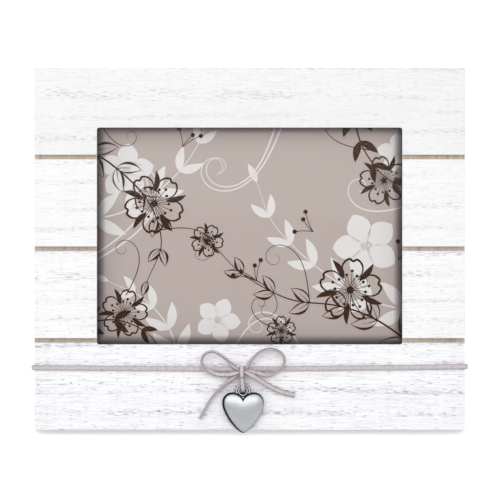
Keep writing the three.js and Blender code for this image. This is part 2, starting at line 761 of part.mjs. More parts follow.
// The bow is one lace that runs through the strap three times: from the left end to the
// right loop, from there to the left loop, and from there to the right end. Each stop is x,
// distance in front of the planks, z, and the lace's turn: 0 flat on the planks, 90 on edge.
const bowStops = [
  [-28.1, 1.9, 6.4, 75],
  [-25.2, 1.9, 11.9, 75],
  [-21.8, 1.9, 17.4, 75],
  [-18.4, 2, 21.7, 72],
  [-14.9, 2.1, 24.9, 60],
  [-11.4, 2.3, 27.9, 35],
  [-8, 2.7, 30.5, 5],
  [knotX, knotLayer(1), 32.7, 0],
  [-1.7, 3.3, 35.2, 20],
  [0.5, 3.5, 38.7, 60],
  [2.9, 3.5, 41.7, 72],
  [6.5, 3.4, 44.5, 75],
  [11.3, 3.4, 45.9, 75],
  [15.8, 3.5, 44.9, 75],
  [18.9, 3.6, 42.2, 75],
  [19.8, 3.7, 38.7, 72],
  [18, 3.8, 34.9, 65],
  [14.3, 3.8, 32.4, 50],
  [9.5, 3.8, 31.3, 20],
  [4.7, 3.8, 32.2, 0],
  [0.5, 3.9, 33.2, 0],
  [knotX, knotLayer(2), 33.3, 0],
  [-7.6, 4.1, 34.9, 20],
  [-11.1, 4, 38.1, 55],
  [-14.7, 3.8, 41.1, 70],
  [-18.1, 3.7, 43.4, 75],
  [-21.2, 3.6, 44.3, 75],
  [-24.5, 3.6, 43.4, 75],
  [-26.6, 3.6, 40.9, 75],
  [-26.9, 3.6, 37.8, 72],
  [-25.2, 3.7, 34.8, 60],
  [-21.8, 3.8, 32.6, 35],
  [-17.3, 3.9, 31.5, 8],
  [-12.2, 4.2, 31.4, 0],
  [-8.2, 4.7, 32.2, 0],
  [knotX, knotLayer(3), 32.9, 0],
  [-1.5, 5.3, 32.4, 0],
  [2.2, 5.4, 30.4, 0],
  [6.4, 4.7, 27.7, 0],
  [11, 3.7, 25, 0],
  [15.6, 2.6, 22.6, 0],
  [20.6, 1.7, 20.9, 0],
  [25.5, 1.2, 19.7, 0],
];
const bowSteps = 78;

function bowRings() {
  const smooth = (points) => new THREE.CatmullRomCurve3(points, false, "catmullrom", 0.5);
  const route = smooth(bowStops.map(([x, front, z]) => new THREE.Vector3(x, -front, z)));
  const turns = smooth(bowStops.map((stop) => new THREE.Vector3(stop[3], 0, 0)));
  const back = new THREE.Vector3(0, 1, 0);
  return Array.from({ length: bowSteps + 1 }, (_, i) => {
    const t = route.getUtoTmapping(i / bowSteps);
    const at = route.getPoint(t);
    const turn = THREE.MathUtils.degToRad(turns.getPoint(t).x);
    const flat = route.getTangent(t).cross(back).normalize();
    const across = flat.multiplyScalar(Math.cos(turn)).addScaledVector(back, Math.sin(turn));
    return { at, across, squeeze: squeezeAt(at.x) };
  });
}

piece("bow_lace", lace(bowRings()), suede);

// The strap that ties the bow to the band
function strap() {
  const ring = roundedRectangle(-strapReach, -seat, knotBottom, knotTop, strapCorner);
  ring.holes.push(
    roundedRectangle(
      -strapReach + strapThickness,
      -seat - strapThickness,
      knotBottom + strapThickness,
      knotTop - strapThickness,
      strapCorner - strapThickness,
      new THREE.Path(),
    ),
  );
  return sidePrism(ring, knotX - laceWidth / 2, knotX + laceWidth / 2);
}

piece("bow_strap", strap(), suede);

// The lace that carries the heart, from the strap through the bail and back up behind it
const hangerStops = [
  [-4.4, 5, knotBottom - seat],
  [-4.2, 5.1, 27.5],
  [-4, 4.95, 25.6],
  [-3.8, 4.35, 23.8],
  [heartX, 3.5, 22.5],
  [heartX, heartPlane, bailZ + 0.15],
  [heartX, 2, 22.5],
  [-3.8, 1.15, 24],
  [-4, 1, 25.8],
  [-4.2, 1.05, 27.6],
  [-4.4, 1.3, knotBottom - seat],
];

function hangerRings() {
  const points = hangerStops.map(([x, front, z]) => new THREE.Vector3(x, -front, z));
  const route = new THREE.CatmullRomCurve3(points, false, "catmullrom", 0.5);
  const across = new THREE.Vector3(1, 0, 0);
  return route.getSpacedPoints(20).map((at) => ({ at, across, squeeze: 0.9 }));
}

piece("heart_lace", lace(hangerRings()), suede);

// Heart: a sphere drawn out to the heart's outline and pressed to its two domes, cast in
// one with a bail of two beads.
function heartOutline() {
  const path = new THREE.Path();
  path.moveTo(0, notchZ);
  path.bezierCurveTo(0.6, notchZ + 1.9, 2.9, lobeTop, lobeX, lobeTop);
  path.bezierCurveTo(9.3, lobeTop, heartHalfWidth, 18.9, heartHalfWidth, heartWaistZ);
  path.bezierCurveTo(heartHalfWidth, 9.2, 3.4, tipZ, 0, tipZ);
  path.bezierCurveTo(-3.4, tipZ, -heartHalfWidth, 9.2, -heartHalfWidth, heartWaistZ);
  path.bezierCurveTo(-heartHalfWidth, 18.9, -9.3, lobeTop, -lobeX, lobeTop);
  path.bezierCurveTo(-2.9, lobeTop, -0.6, notchZ + 1.9, 0, notchZ);
  return path;
}

function heartBody() {
  const around = 48;
  const rows = 14;
  const edge = heartOutline().getSpacedPoints(around);
  const geometry = new THREE.SphereGeometry(1, around, rows);
  const position = geometry.attributes.position;
  for (let i = 0; i < position.count; i += 1) {
    const row = Math.floor(i / (around + 1));
    const rim = edge[(i % (around + 1)) % around];
    const tilt = (row / rows) * Math.PI;
    const out = Math.sin(tilt);
    const dome = Math.cos(tilt) > 0 ? heartFrontDome : heartBackDome;
    const raised = Math.sign(Math.cos(tilt)) * Math.sqrt(1 - out ** 2.4) * dome;
    position.setXYZ(i, rim.x * out, -raised, heartMiddleZ + (rim.y - heartMiddleZ) * out);
  }
  return solid(geometry);
}

// A round bead bent into a ring round the bail's hole
function bead(middle, radius) {
  const profile = Array.from({ length: 13 }, (_, i) => {
    const angle = (i / 12) * 2 * Math.PI;
    return [middle + radius * Math.cos(angle), radius * Math.sin(angle)];
  });
  return turned(profile, 0, bailZ);
}

function heart() {
  const innerMiddle = bailHoleRadius + innerBeadRadius;
  const outerMiddle = innerMiddle + innerBeadRadius + outerBeadRadius - 0.1;
  const foot = outline([
    [-3.7, 21.2],
    [3.7, 21.2],
    [4.9, 19.6],
    [1.1, 17],
    [-1.1, 17],
    [-4.9, 19.6],
  ]);
  const cast = joinAll([
    heartBody(),
    frontPrism(foot, -0.6, 0.6),
    bead(innerMiddle, innerBeadRadius),
    bead(outerMiddle, outerBeadRadius),
  ]);
  return cast.subtract(drilled(bailHoleRadius, -4, 4, 0, bailZ));
}

const charm = piece("heart", heart(), castPewter);
charm.position.set(heartX, -heartPlane, 0);

// The frame leans back on the rear edge of its lower rail, and the origin goes under the
// middle of what is left when the loose bow is not counted.
leaning.rotation.x = -lean;
leaning.position.z = backFace * Math.sin(lean);
assembly.updateMatrixWorld(true);
const extent = new THREE.Box3();
leaning.traverse((item) => {
  if (item.isMesh && item.name !== "bow_lace") {
    extent.expandByObject(item, true);
  }
});
leaning.position.y = -(extent.min.y + extent.max.y) / 2;

export default assembly;
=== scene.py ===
import json
import math
from functools import partial

import bmesh
import bpy
from mathutils import Matrix, Vector


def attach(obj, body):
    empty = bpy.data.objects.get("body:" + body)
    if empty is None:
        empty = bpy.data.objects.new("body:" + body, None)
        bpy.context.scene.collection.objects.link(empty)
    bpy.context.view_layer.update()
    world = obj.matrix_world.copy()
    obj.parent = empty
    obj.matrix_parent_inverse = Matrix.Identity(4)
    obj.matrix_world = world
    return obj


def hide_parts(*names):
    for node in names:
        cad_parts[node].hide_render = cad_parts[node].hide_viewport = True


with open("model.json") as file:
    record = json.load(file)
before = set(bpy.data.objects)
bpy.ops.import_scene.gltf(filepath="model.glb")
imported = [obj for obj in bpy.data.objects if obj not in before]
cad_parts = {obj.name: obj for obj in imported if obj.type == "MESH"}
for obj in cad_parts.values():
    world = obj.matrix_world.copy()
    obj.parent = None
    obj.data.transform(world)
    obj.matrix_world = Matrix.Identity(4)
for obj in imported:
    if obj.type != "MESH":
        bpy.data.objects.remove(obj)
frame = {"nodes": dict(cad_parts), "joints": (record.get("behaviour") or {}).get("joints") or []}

# The whole frame stands on a table and leans back on its easel leg. Every piece is laid out
# on the upright frame in millimetres: x to the right, y back from the planks' face, z up
# from the lower edge. The matrix stand carries that to where the frame stands, in metres.
MM = 0.001
LEAN = math.radians(14)
HEART_X = -3.7
HEART_PLANE = 2.75
BAIL_Z = 22
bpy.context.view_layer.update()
joints = {joint["name"]: joint for joint in frame["joints"]}
tilt = Matrix.Rotation(-LEAN, 4, "X")
bail_hole = Vector((HEART_X, -HEART_PLANE, BAIL_Z))
foot = Vector(joints["heart_sway"]["pos_m"]) - tilt @ (bail_hole * MM)
stand = Matrix.Translation(foot) @ tilt @ Matrix.Scale(MM, 4)

# Camera: a long lens square on to the planks, framed as the photograph is. The face's lower
# edge lies on row 430 of its 500 rows, and the face's middle on column 249.6.
PHOTO_PIXELS = 500
MM_PER_PIXEL = 0.5647
EDGE_ROW = 430
MIDDLE_COLUMN = 249.6
LENS = 500
SENSOR = 36


def put_in_scene(name, data):
    """A new object, linked into the scene."""
    item = bpy.data.objects.new(name, data)
    bpy.context.scene.collection.objects.link(item)
    return item


centre_x = (PHOTO_PIXELS / 2 - MIDDLE_COLUMN) * MM_PER_PIXEL
centre_z = (EDGE_ROW - PHOTO_PIXELS / 2) * MM_PER_PIXEL
distance = PHOTO_PIXELS * MM_PER_PIXEL * LENS / SENSOR
camera = put_in_scene("camera", bpy.data.cameras.new("camera"))
camera.data.lens = LENS
camera.data.sensor_width = SENSOR
camera.location = stand @ Vector((centre_x, -distance, centre_z))
camera.rotation_euler = (math.radians(90) - LEAN, 0, 0)
bpy.context.scene.camera = camera

# Suede lace: a flat strip 2.8 mm wide cut from thick microfibre cloth. It is the same lace
# in the bow, the band, the strap and the heart's loop, so one function carries its rounded
# section along a route. A ring is (place, direction of the lace's width, squeeze).
LACE_WIDTH = 2.8
LACE_THICKNESS = 1.3
SECTION_SIDES = 32
SECTION_POWER = 3.2
EDGE_SHADE_CORNER = 38
EDGE_SHADE_SPREAD = 20
FINE_STEPS = 24


def srgb(code):
    """An sRGB hex colour as linear red, green, blue and alpha."""
    parts = [int(code[i : i + 2], 16) / 255 for i in (1, 3, 5)]
    return [c / 12.92 if c <= 0.04045 else ((c + 0.055) / 1.055) ** 2.4 for c in parts] + [1]


def fill(node, *inputs, **named):
    """Gives a node its attributes, then its inputs in order and by name. A value that is a
    node or an output is linked. Stops are a colour ramp's positions and hex colours."""
    stops = named.pop("stops", ())
    for _ in stops[2:]:
        node.color_ramp.elements.new(0.5)
    for i, (position, code) in enumerate(stops):
        node.color_ramp.elements[i].position = position
        node.color_ramp.elements[i].color = srgb(code)
    for key in [key for key in named if hasattr(node, key)]:
        setattr(node, key, named.pop(key))
    given = list(zip([socket for socket in node.inputs if socket.enabled], inputs))
    given += [(node.inputs[key.replace("_", " ")], value) for key, value in named.items()]
    for socket, value in given:
        if isinstance(value, bpy.types.Node):
            value = next(output for output in value.outputs if output.enabled)
        if isinstance(value, bpy.types.NodeSocket):
            node.id_data.links.new(value, socket)
        else:
            socket.default_value = value
    return node


def add_node(tree, kind, *inputs, **named):
    """Adds a node with its settings and links. A kind without Node in it is a shader's."""
    return fill(tree.nodes.new(kind if "Node" in kind else "ShaderNode" + kind), *inputs, **named)


def new_material(name, **values):
    """A material, the function that adds its nodes, and its Principled shader."""
    material = bpy.data.materials.new(name)
    material.use_nodes = True
    tree = material.node_tree
    return material, partial(add_node, tree), fill(tree.nodes["Principled BSDF"], **values)


def upright_place(add, scale=None):
    """Object coordinates turned back to the upright frame, then scaled."""
    place = add("TexCoord").outputs["Object"]
    moved = tilt.inverted() @ -foot
    level = add("Mapping", place, Rotation=(LEAN, 0, 0), Location=moved)
    return add("Mapping", level, Scale=scale) if scale else level


def suede_material():
    """Microfibre suede: cut fibre ends stand off the cloth, so it is matt and mottled at the
    scale of the fibre clumps. A darker line is painted along each corner of the lace as painted
    shade, where its rounded edges turn from the light."""
    material, add, shader = new_material("microfibre_suede", Roughness=0.95)
    fill(shader, Sheen_Weight=0.12, Sheen_Roughness=0.4, Specular_IOR_Level=0.15)
    place = upright_place(add)
    clumps = add("TexNoise", place, Scale=1 / (1.6 * MM), Detail=3)
    fibres = add("TexNoise", place, Scale=1 / (0.25 * MM), Detail=4)
    both = add("Mix", 0.4, clumps, fibres)
    colour = add("ValToRGB", both, stops=((0.3, "#B3A9AC"), (0.5, "#CCC3C5"), (0.7, "#DCD4D6")))
    # Painted shade: a darker line along the lace's corners, where its rounded edges turn from the
    # light.
    cut = add("Attribute", attribute_name="cut_line").outputs["Fac"]
    with_edge_shade = add("Mix", cut, colour, srgb("#54484F"), data_type="RGBA")
    nap = add("Bump", Strength=0.6, Distance=0.12 * MM, Height=fibres)
    fill(shader, Base_Color=with_edge_shade, Normal=nap)
    return material


suede = suede_material()


def show(piece, body, slot, *replaced):
    """A finished piece rides on its body and stands for CAD nodes. Slot is not used."""
    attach(piece, body)
    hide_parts(*replaced)
    return piece


def mesh_piece(name, points, faces, material, smooth=True):
    """A new object from points on the upright frame, in millimetres."""
    mesh = bpy.data.meshes.new(name)
    mesh.from_pydata([stand @ Vector(point) for point in points], [], faces)
    mesh.materials.append(material)
    mesh.update()
    if smooth:
        mesh.shade_smooth()
    return put_in_scene(name, mesh)


def tube_faces(rings, sides, closed=False):
    """Quads between rings of points that follow one another, and a cap on each end of a tube
    that doesn't close on itself."""
    faces = []
    for i in range(rings if closed else rings - 1):
        near, far = i * sides, (i + 1) % rings * sides
        for side in range(sides):
            turn = (side + 1) % sides
            faces.append((near + side, near + turn, far + turn, far + side))
    if not closed:
        faces.append(tuple(range(sides))[::-1])
        faces.append(tuple(range((rings - 1) * sides, rings * sides)))
    return faces


def beside(row, i, closed=False):
    """What comes before and after i in a row. The ends of an open row stand in for what
    isn't there."""
    if closed:
        return row[i - 1], row[(i + 1) % len(row)]
    return row[max(i - 1, 0)], row[min(i + 1, len(row) - 1)]


def lace_piece(name, rings, body, node, closed=False, wide=1, cut=1):
    """The lace's section, a rectangle with rounded corners, carried along the rings. Its
    width is wide times what the squeeze leaves, and cut is how strongly the painted shade along
    its corners shows."""
    points = []
    for i, (place, across, squeeze) in enumerate(rings):
        before, after = beside(rings, i, closed)
        along = (after[0] - before[0]).normalized()
        width = (across - across.dot(along) * along).normalized()
        depth = width.cross(along)
        for side in range(SECTION_SIDES):
            angle = 2 * math.pi * (side + 0.5) / SECTION_SIDES
            c, s = math.cos(angle), math.sin(angle)
            out = (abs(c) ** SECTION_POWER + abs(s) ** SECTION_POWER) ** (-1 / SECTION_POWER)
            half_width = out * squeeze * c * wide * LACE_WIDTH / 2
            half_depth = out * squeeze * s * LACE_THICKNESS / 2
            points.append(place + width * half_width + depth * half_depth)
    piece = mesh_piece(name, points, tube_faces(len(rings), SECTION_SIDES, closed), suede)
    # Painted shade along the section's corners, as strong as cut.
    cut_line = piece.data.attributes.new("cut_line", "FLOAT", "POINT")
    for i in range(len(points)):
        angle = (i % SECTION_SIDES + 0.5) * 360 / SECTION_SIDES % 180
        from_corner = abs(min(angle, 180 - angle) - EDGE_SHADE_CORNER)
        cut_line.data[i].value = cut * max(0, 1 - from_corner / EDGE_SHADE_SPREAD)
    return show(piece, body, "suede_lace", node)


def smooth_route(stops, step):
    """Catmull-Rom through stops of any number of values, at even steps of the first three."""
    rows = [Vector(stop) for stop in stops]
    rows = [2 * rows[0] - rows[1], *rows, 2 * rows[-1] - rows[-2]]
    shares = [k / FINE_STEPS for k in range(FINE_STEPS)]
    fine = []
    for a, b, c, d in zip(rows, rows[1:], rows[2:], rows[3:]):
        slope = (c - a) / 2
        bend = a - 2.5 * b + 2 * c - d / 2
        twist = 1.5 * (b - c) + (d - a) / 2
        fine += [b + t * slope + t**2 * bend + t**3 * twist for t in shares]
    fine.append(rows[-2])
    reached = [0]
    for a, b in zip(fine, fine[1:]):
        reached.append(reached[-1] + math.dist(a[:3], b[:3]))
    steps = round(reached[-1] / step)
    even = []
    j = 0
    for i in range(steps + 1):
        wanted = reached[-1] * i / steps
        while j < len(fine) - 2 and reached[j + 1] < wanted:
            j += 1
        share = (wanted - reached[j]) / (reached[j + 1] - reached[j])
        even.append(fine[j].lerp(fine[j + 1], share))
    return even


# The bow: one lace with two loops and two cut ends. It runs through its strap three times,
# where it is squeezed, and lies on the planks under its own weight. Each stop is x, distance
# in front of the planks, z, and the lace's turn in degrees, 0 flat and 90 on edge.
SEAT = 0.25
KNOT_X = -4.46
STRAP_THICKNESS = 1
KNOT_SQUEEZE = 0.6
KNOT_HALF = 1.8
SQUEEZE_END = 5
SQUEEZED = LACE_THICKNESS * KNOT_SQUEEZE


def knot_layer(layer):
    """How far in front of the planks a lace's middle lies inside the strap."""
    return 2 * SEAT + STRAP_THICKNESS + SQUEEZED / 2 + layer * (SQUEEZED + SEAT)


def smooth_share(value, start, end):
    """0 up to start and 1 from end, with a smooth rise between."""
    t = min(max((value - start) / (end - start), 0), 1)
    return t * t * (3 - 2 * t)


def near_knot(x, outer):
    """1 within the knot's half width of its middle, falling smoothly to 0 at outer."""
    return 1 - smooth_share(abs(x - KNOT_X), KNOT_HALF, outer)


def squeeze_at(x):
    return 1 - (1 - KNOT_SQUEEZE) * near_knot(x, SQUEEZE_END)


bow_stops = [
    (-28.1, 1.9, 6.4, 75),
    (-25.2, 1.9, 11.9, 75),
    (-21.8, 1.9, 17.4, 75),
    (-18.4, 2, 21.7, 72),
    (-14.9, 2.1, 24.9, 60),
    (-11.4, 2.3, 27.9, 35),
    (-8, 2.7, 30.5, 5),
    (KNOT_X, knot_layer(1), 32.7, 0),
    (-1.7, 3.3, 35.2, 20),
    (0.5, 3.5, 38.7, 60),
    (2.9, 3.5, 41.7, 72),
    (6.5, 3.4, 44.5, 75),
    (11.3, 3.4, 45.9, 75),
    (15.8, 3.5, 44.9, 75),
    (18.9, 3.6, 42.2, 75),
    (19.8, 3.7, 38.7, 72),
    (18, 3.8, 34.9, 65),
    (14.3, 3.8, 32.4, 50),
    (9.5, 3.8, 31.3, 20),
    (4.7, 3.8, 32.2, 0),
    (0.5, 3.9, 33.2, 0),
    (KNOT_X, knot_layer(2), 33.3, 0),
    (-7.6, 4.1, 34.9, 20),
    (-11.1, 4, 38.1, 55),
    (-14.7, 3.8, 41.1, 70),
    (-18.1, 3.7, 43.4, 75),
    (-21.2, 3.6, 44.3, 75),
    (-24.5, 3.6, 43.4, 75),
    (-26.6, 3.6, 40.9, 75),
    (-26.9, 3.6, 37.8, 72),
    (-25.2, 3.7, 34.8, 60),
    (-21.8, 3.8, 32.6, 35),
    (-17.3, 3.9, 31.5, 8),
    (-12.2, 4.2, 31.4, 0),
    (-8.2, 4.7, 32.2, 0),
    (KNOT_X, knot_layer(3), 32.9, 0),
    (-1.5, 5.3, 32.4, 0),
    (2.2, 5.4, 30.4, 0),
    (6.4, 4.7, 27.7, 0),
    (11, 3.7, 25, 0),
    (15.6, 2.6, 22.6, 0),
    (20.6, 1.7, 20.9, 0),
    (25.5, 1.2, 19.7, 0),
]

bow_route = smooth_route(bow_stops, step=0.5)
back = Vector((0, 1, 0))
bow_rings = []
for i, (x, front, z, turn) in enumerate(bow_route):
    before, after = beside(bow_route, i)
    along = Vector((after[0] - before[0], before[1] - after[1], after[2] - before[2]))
    flat = along.cross(back).normalized()
    angle = math.radians(turn)
    across = flat * math.cos(angle) + back * math.sin(angle)
    bow_rings.append((Vector((x, -front, z)), across, squeeze_at(x)))

# Both ends are free, so the bow is two cords that leave the strap where the lace goes through
# it for the second time: one ends at the lower left and the other at the right.
second_pass = Vector((KNOT_X, -knot_layer(2), 33.3))
middle = min(range(len(bow_rings)), key=lambda i: (bow_rings[i][0] - second_pass).length)
for name, rings, length in (
    ("bow_left_end", bow_rings[middle::-1], 0.098),
    ("bow_right_end", bow_rings[middle:], 0.089),
):
    half = lace_piece(name, rings, "frame", "bow_lace")

# Core: two rails and two stiles of sawn pine, rebated at the back for the print, glued and
# stapled. The wood is bare, and it shows as the tan floor of the gaps between the planks. The
# window's lip is stained dark, and that dark also stands as painted shade in the recess.
WINDOW_HALF = 86.25
WINDOW_BOTTOM = 48.3
WINDOW_TOP = 170.8
SHARP = math.radians(35)
WELD = 0.002
FLAT = math.radians(0.5)


def made_mesh(name, work):
    """A new mesh of what a bmesh holds, which is then let go."""
    mesh = bpy.data.meshes.new(name)
    work.to_mesh(mesh)
    work.free()
    return mesh


def finished_copy(name, body, slot, material, node, edge=0.2, segments=2):
    """A CAD node's own shape with merged corners and slightly worn edges."""
    work = bmesh.new()
    work.from_mesh(frame["nodes"][node].data)
    bmesh.ops.remove_doubles(work, verts=work.verts, dist=WELD * MM)
    bmesh.ops.dissolve_limit(work, angle_limit=FLAT, verts=work.verts, edges=work.edges)
    mesh = made_mesh(name, work)
    mesh.materials.clear()
    mesh.materials.append(material)
    mesh.shade_smooth()
    piece = put_in_scene(name, mesh)
    bevel = piece.modifiers.new("worn_edges", "BEVEL")
    bevel.width = edge * MM
    bevel.segments = segments
    bevel.limit_method = "ANGLE"
    bevel.angle_limit = SHARP
    bevel.harden_normals = True
    return show(piece, body, slot, node)


def pine_material(name, grain):
    """Sawn pine, bare: growth lines about 2 mm apart along the grain, fine pores between
    them and a dry, slightly furry surface."""
    material, add, shader = new_material(name, Roughness=0.85, Specular_IOR_Level=0.3)
    place = upright_place(add, grain)
    rings = add("TexNoise", place, Scale=1 / (2.2 * MM), Detail=5, Roughness=0.65)
    stops = ((0.3, "#B5A28F"), (0.46, "#CFC0AF"), (0.6, "#DACCBC"), (0.75, "#C3B19E"))
    colour = add("ValToRGB", rings, stops=stops)
    sawn = add("Bump", Strength=0.5, Distance=0.15 * MM, Height=rings)
    fill(shader, Base_Color=colour, Normal=sawn)
    return material


def lip_stain_and_shade_material():
    """Dark water stain on pine, brushed round the window's lip as framers do, so that bare
    wood doesn't mirror in the glass: flat, nearly black brown, thinner on the hard rings. The
    dark also stands as painted shade in the window's recess."""
    material, add, shader = new_material("stained_pine_lip", Roughness=0.9, Specular_IOR_Level=0.2)
    brushed = add("TexNoise", upright_place(add), Scale=1 / (1.5 * MM), Detail=3)
    stops = ((0.35, "#3B3537"), (0.7, "#5A5254"))
    fill(shader, Base_Color=add("ValToRGB", brushed, stops=stops))
    return material


pine_along = pine_material("sawn_pine_rail", (0.06, 1, 1))
pine_upright = pine_material("sawn_pine_stile", (1, 1, 0.06))
lip_stain_and_shade = lip_stain_and_shade_material()
facing_back = tilt @ back
for name, wood in (
    ("rail_top", pine_along),
    ("rail_bottom", pine_along),
    ("stile_left", pine_upright),
    ("stile_right", pine_upright),
):
    bar = finished_copy(name + "_wood", "frame", "raw_wood", wood, name)
    # The lip's faces take the dark stain, which also stands as painted shade in the recess.
    bar.data.materials.append(lip_stain_and_shade)
    for face in bar.data.polygons:
        place = stand.inverted() @ face.center
        on_side = abs(abs(place.x) - WINDOW_HALF) < 0.1
        on_end = min(abs(place.z - WINDOW_BOTTOM), abs(place.z - WINDOW_TOP)) < 0.1
        if (on_side or on_end) and abs(face.normal.dot(facing_back)) < 0.1:
            face.material_index = 1

# Planks: thin softwood boards, glued on in four rows with open gaps and brushed with a white
# wash. The wash stays in a thick, matt film and the grain shows through it as faint broken
# lines, warmer on the upper boards and greyer and stronger on the lower ones.
PLANK_PITCH = 51.8
RING_SPACING = 13

# A wave texture of scale 1 draws this many bands to a unit of length
WAVE_BANDS = 20 / (2 * math.pi)


def whitewash_material():
    """White wash over brushed softwood. The brush left long faint scratches, and short thin
    pores of grey wood stay open, closest along the growth rings where the wash is worn. All
    are slight grooves. Each board was cut from another place, so its pattern is its own, and
    slow waves set its rings at uneven distances."""
    material, add, shader = new_material(
        "whitewashed_softwood", Roughness=0.8, Specular_IOR_Level=0.25
    )
    upright = upright_place(add)
    from_floor = add("SeparateXYZ", upright).outputs["Z"]
    row = add("Math", from_floor, PLANK_PITCH * MM, operation="DIVIDE")
    board = add("Math", row, operation="FLOOR")
    worn = add("MapRange", board, 0, 3, 1, 0)
    long_waves = add("Mapping", upright, Scale=(0.05, 1, 1))
    waves = add("TexNoise", long_waves, Scale=1 / (22 * MM), Detail=1)
    sideways = add("Math", board, 0.37, operation="MULTIPLY")
    upwards = add("Math", waves, 20 * MM, operation="MULTIPLY")
    shift = add("CombineXYZ", X=sideways, Z=upwards)
    grain = add("VectorMath", upright, shift, operation="ADD")

    pattern = {}
    for name, length, height, detail in (
        ("pores", 4.5, 0.33, 4),
        ("scratches", 18, 0.36, 2),
        ("patches", 40, 6, 2),
        ("streaks", 55, 2.2, 3),
    ):
        stretched = add("Mapping", grain, Scale=(height / length, 1, 1))
        pattern[name] = add("TexNoise", stretched, Scale=1 / (height * MM), Detail=detail)
    bands = {"Scale": 1 / (WAVE_BANDS * RING_SPACING * MM), "bands_direction": "Z"}
    crooked = {"Distortion": 0.9, "Detail": 2, "Detail Scale": 1}
    rings = add("TexWave", grain, **bands, **crooked).outputs["Fac"]
    crests = add("MapRange", rings, 0.7, 1)
    worn_there = add("MapRange", pattern["patches"], 0.36, 0.56)
    in_rings = add("Math", crests, worn_there, operation="MULTIPLY")
    thinned = add("Math", in_rings, 0.11, pattern["pores"], operation="MULTIPLY_ADD")
    open_pores = add("MapRange", thinned, 0.6, 0.68)
    scratches = add("MapRange", pattern["scratches"], 0.52, 0.7, 0, 0.42)
    marks = add("Math", open_pores, scratches, operation="MAXIMUM")
    strength = add("MapRange", worn, 0.5, 1, 0.43, 0.84)
    shown = add("Math", marks, strength, operation="MULTIPLY")
    thin = add("MapRange", pattern["streaks"], 0.46, 0.7)
    thin_wash = add("Math", thin, strength, operation="MULTIPLY")

    # The wash is lighter towards the bottom boards, partly painted light for the lamps lighting
    # them less.
    wash = add("ValToRGB", worn, stops=((0, "#F3F5F4"), (0.33, "#F8FAF9"), (1, "#FDFDFF")))
    grey_wash = add("ValToRGB", worn, stops=((0, "#F0F0EE"), (1, "#F4F3FA")))
    wood = add("ValToRGB", worn, stops=((0, "#A49B8E"), (0.5, "#98918F"), (1, "#8C8896")))
    cloudy = add("Mix", thin_wash, wash, grey_wash, data_type="RGBA")
    colour = add("Mix", shown, cloudy, wood, data_type="RGBA")
    grooves = add("Bump", Strength=0.4, Distance=0.1 * MM, Height=shown, invert=True)
    fill(shader, Base_Color=colour, Normal=grooves)
    return material


whitewash = whitewash_material()
for row in ("bottom", "lower_left", "lower_right", "upper_left", "upper_right", "top"):
    node = "plank_" + row
    finished_copy(node + "_board", "frame", "whitewash", whitewash, node, edge=0.3, segments=3)

# Glass: a 2 mm pane of coated picture glass with ground edges. It lies loose in the rebate
# and is pressed against the lip by what lies behind it.
def glass_material():
    """Picture glass with a coating against reflections: clear, colourless and nearly without
    a mirror image. Light shines through it on to the print, so shadow rays and the rays that
    leave the print pass it as if it were open."""
    material, add, shader = new_material(
        "coated_picture_glass", IOR=1.2, Transmission_Weight=1, Specular_IOR_Level=0.05
    )
    smear = add("TexNoise", upright_place(add), Scale=1 / (40 * MM), Detail=2)
    fill(shader, Roughness=add("MapRange", smear, 0, 1, 0.01, 0.05))
    path = add("LightPath").outputs
    open_to = add("Math", path["Is Shadow Ray"], path["Is Diffuse Ray"], operation="MAXIMUM")
    passing = add("BsdfTransparent")
    pane_or_open = add("MixShader", open_to, shader, passing)
    fill(material.node_tree.nodes["Material Output"], Surface=pane_or_open)
    return material


pane = finished_copy("glass_pane", "frame", "clear_glass", glass_material(), "glass")
pane.data.shade_flat()
pane.modifiers["worn_edges"].harden_normals = False

# Print: a card of the print's size behind the glass, printed in two inks on a taupe ground.
# The design is leafy branches, round blossoms, berries and tendrils, pale ones behind dark.
CARD_FRONT = 11.75
PRINT_HALF = 90
PRINT_BOTTOM = 44.55
PRINT_TOP = 174.55
PAINTED_SHADE_INSET = 0.5
PAINTED_SHADE_RISE = 0.9


def card_material(name, colour):
    """Uncoated card: an even, matt film of ink over a faint paper tooth. Painted shade darkens
    the print towards the edges of the window, as the lip's shadow would, which makes the frame
    look deep."""
    material, add, shader = new_material(name, Roughness=0.75, Specular_IOR_Level=0.08)
    place = upright_place(add)
    tooth = add("TexNoise", place, Scale=1 / (0.6 * MM), Detail=4, Roughness=0.7)
    grey = add("ValToRGB", tooth, stops=((0.35, "#F0EEEC"), (0.65, "#FFFFFF")))
    multiply = {"data_type": "RGBA", "blend_type": "MULTIPLY"}
    ink = add("Mix", 0.5, srgb(colour), grey, **multiply)

    # Painted shade: the print and its inks darken towards the window's edges, most at the bottom.
    centre = (0, 0, ((WINDOW_BOTTOM + WINDOW_TOP) / 2 + PAINTED_SHADE_RISE) * MM)
    from_centre = add("VectorMath", place, centre, operation="SUBTRACT")
    outwards = add("VectorMath", from_centre, operation="ABSOLUTE")
    out = add("SeparateXYZ", outwards).outputs
    halves = {"X": WINDOW_HALF - PAINTED_SHADE_INSET, "Z": (WINDOW_TOP - WINDOW_BOTTOM) / 2}
    inwards = [
        add("Math", half * MM, out[axis], operation="SUBTRACT") for axis, half in halves.items()
    ]
    edge = add("Math", *inwards, 2 * MM, operation="SMOOTH_MIN")
    shade = add("MapRange", edge, -1 * MM, 5 * MM, interpolation_type="SMOOTHSTEP")
    painted_shade_stops = ((0, "#6B6469"), (0.28, "#99949A"), (0.69, "#D0CCCE"), (1, "#FFFFFF"))
    dark = add("ValToRGB", shade, stops=painted_shade_stops)
    with_painted_shade = add("Mix", 1, ink, dark, **multiply)
    rough = add("Bump", Strength=0.15, Distance=0.05 * MM, Height=tooth)
    fill(shader, Base_Color=with_painted_shade, Normal=rough)
    return material


def recover(node, material):
    """A CAD node that keeps its own mesh gets a material of its own."""
    materials = frame["nodes"][node].data.materials
    materials.clear()
    materials.append(material)


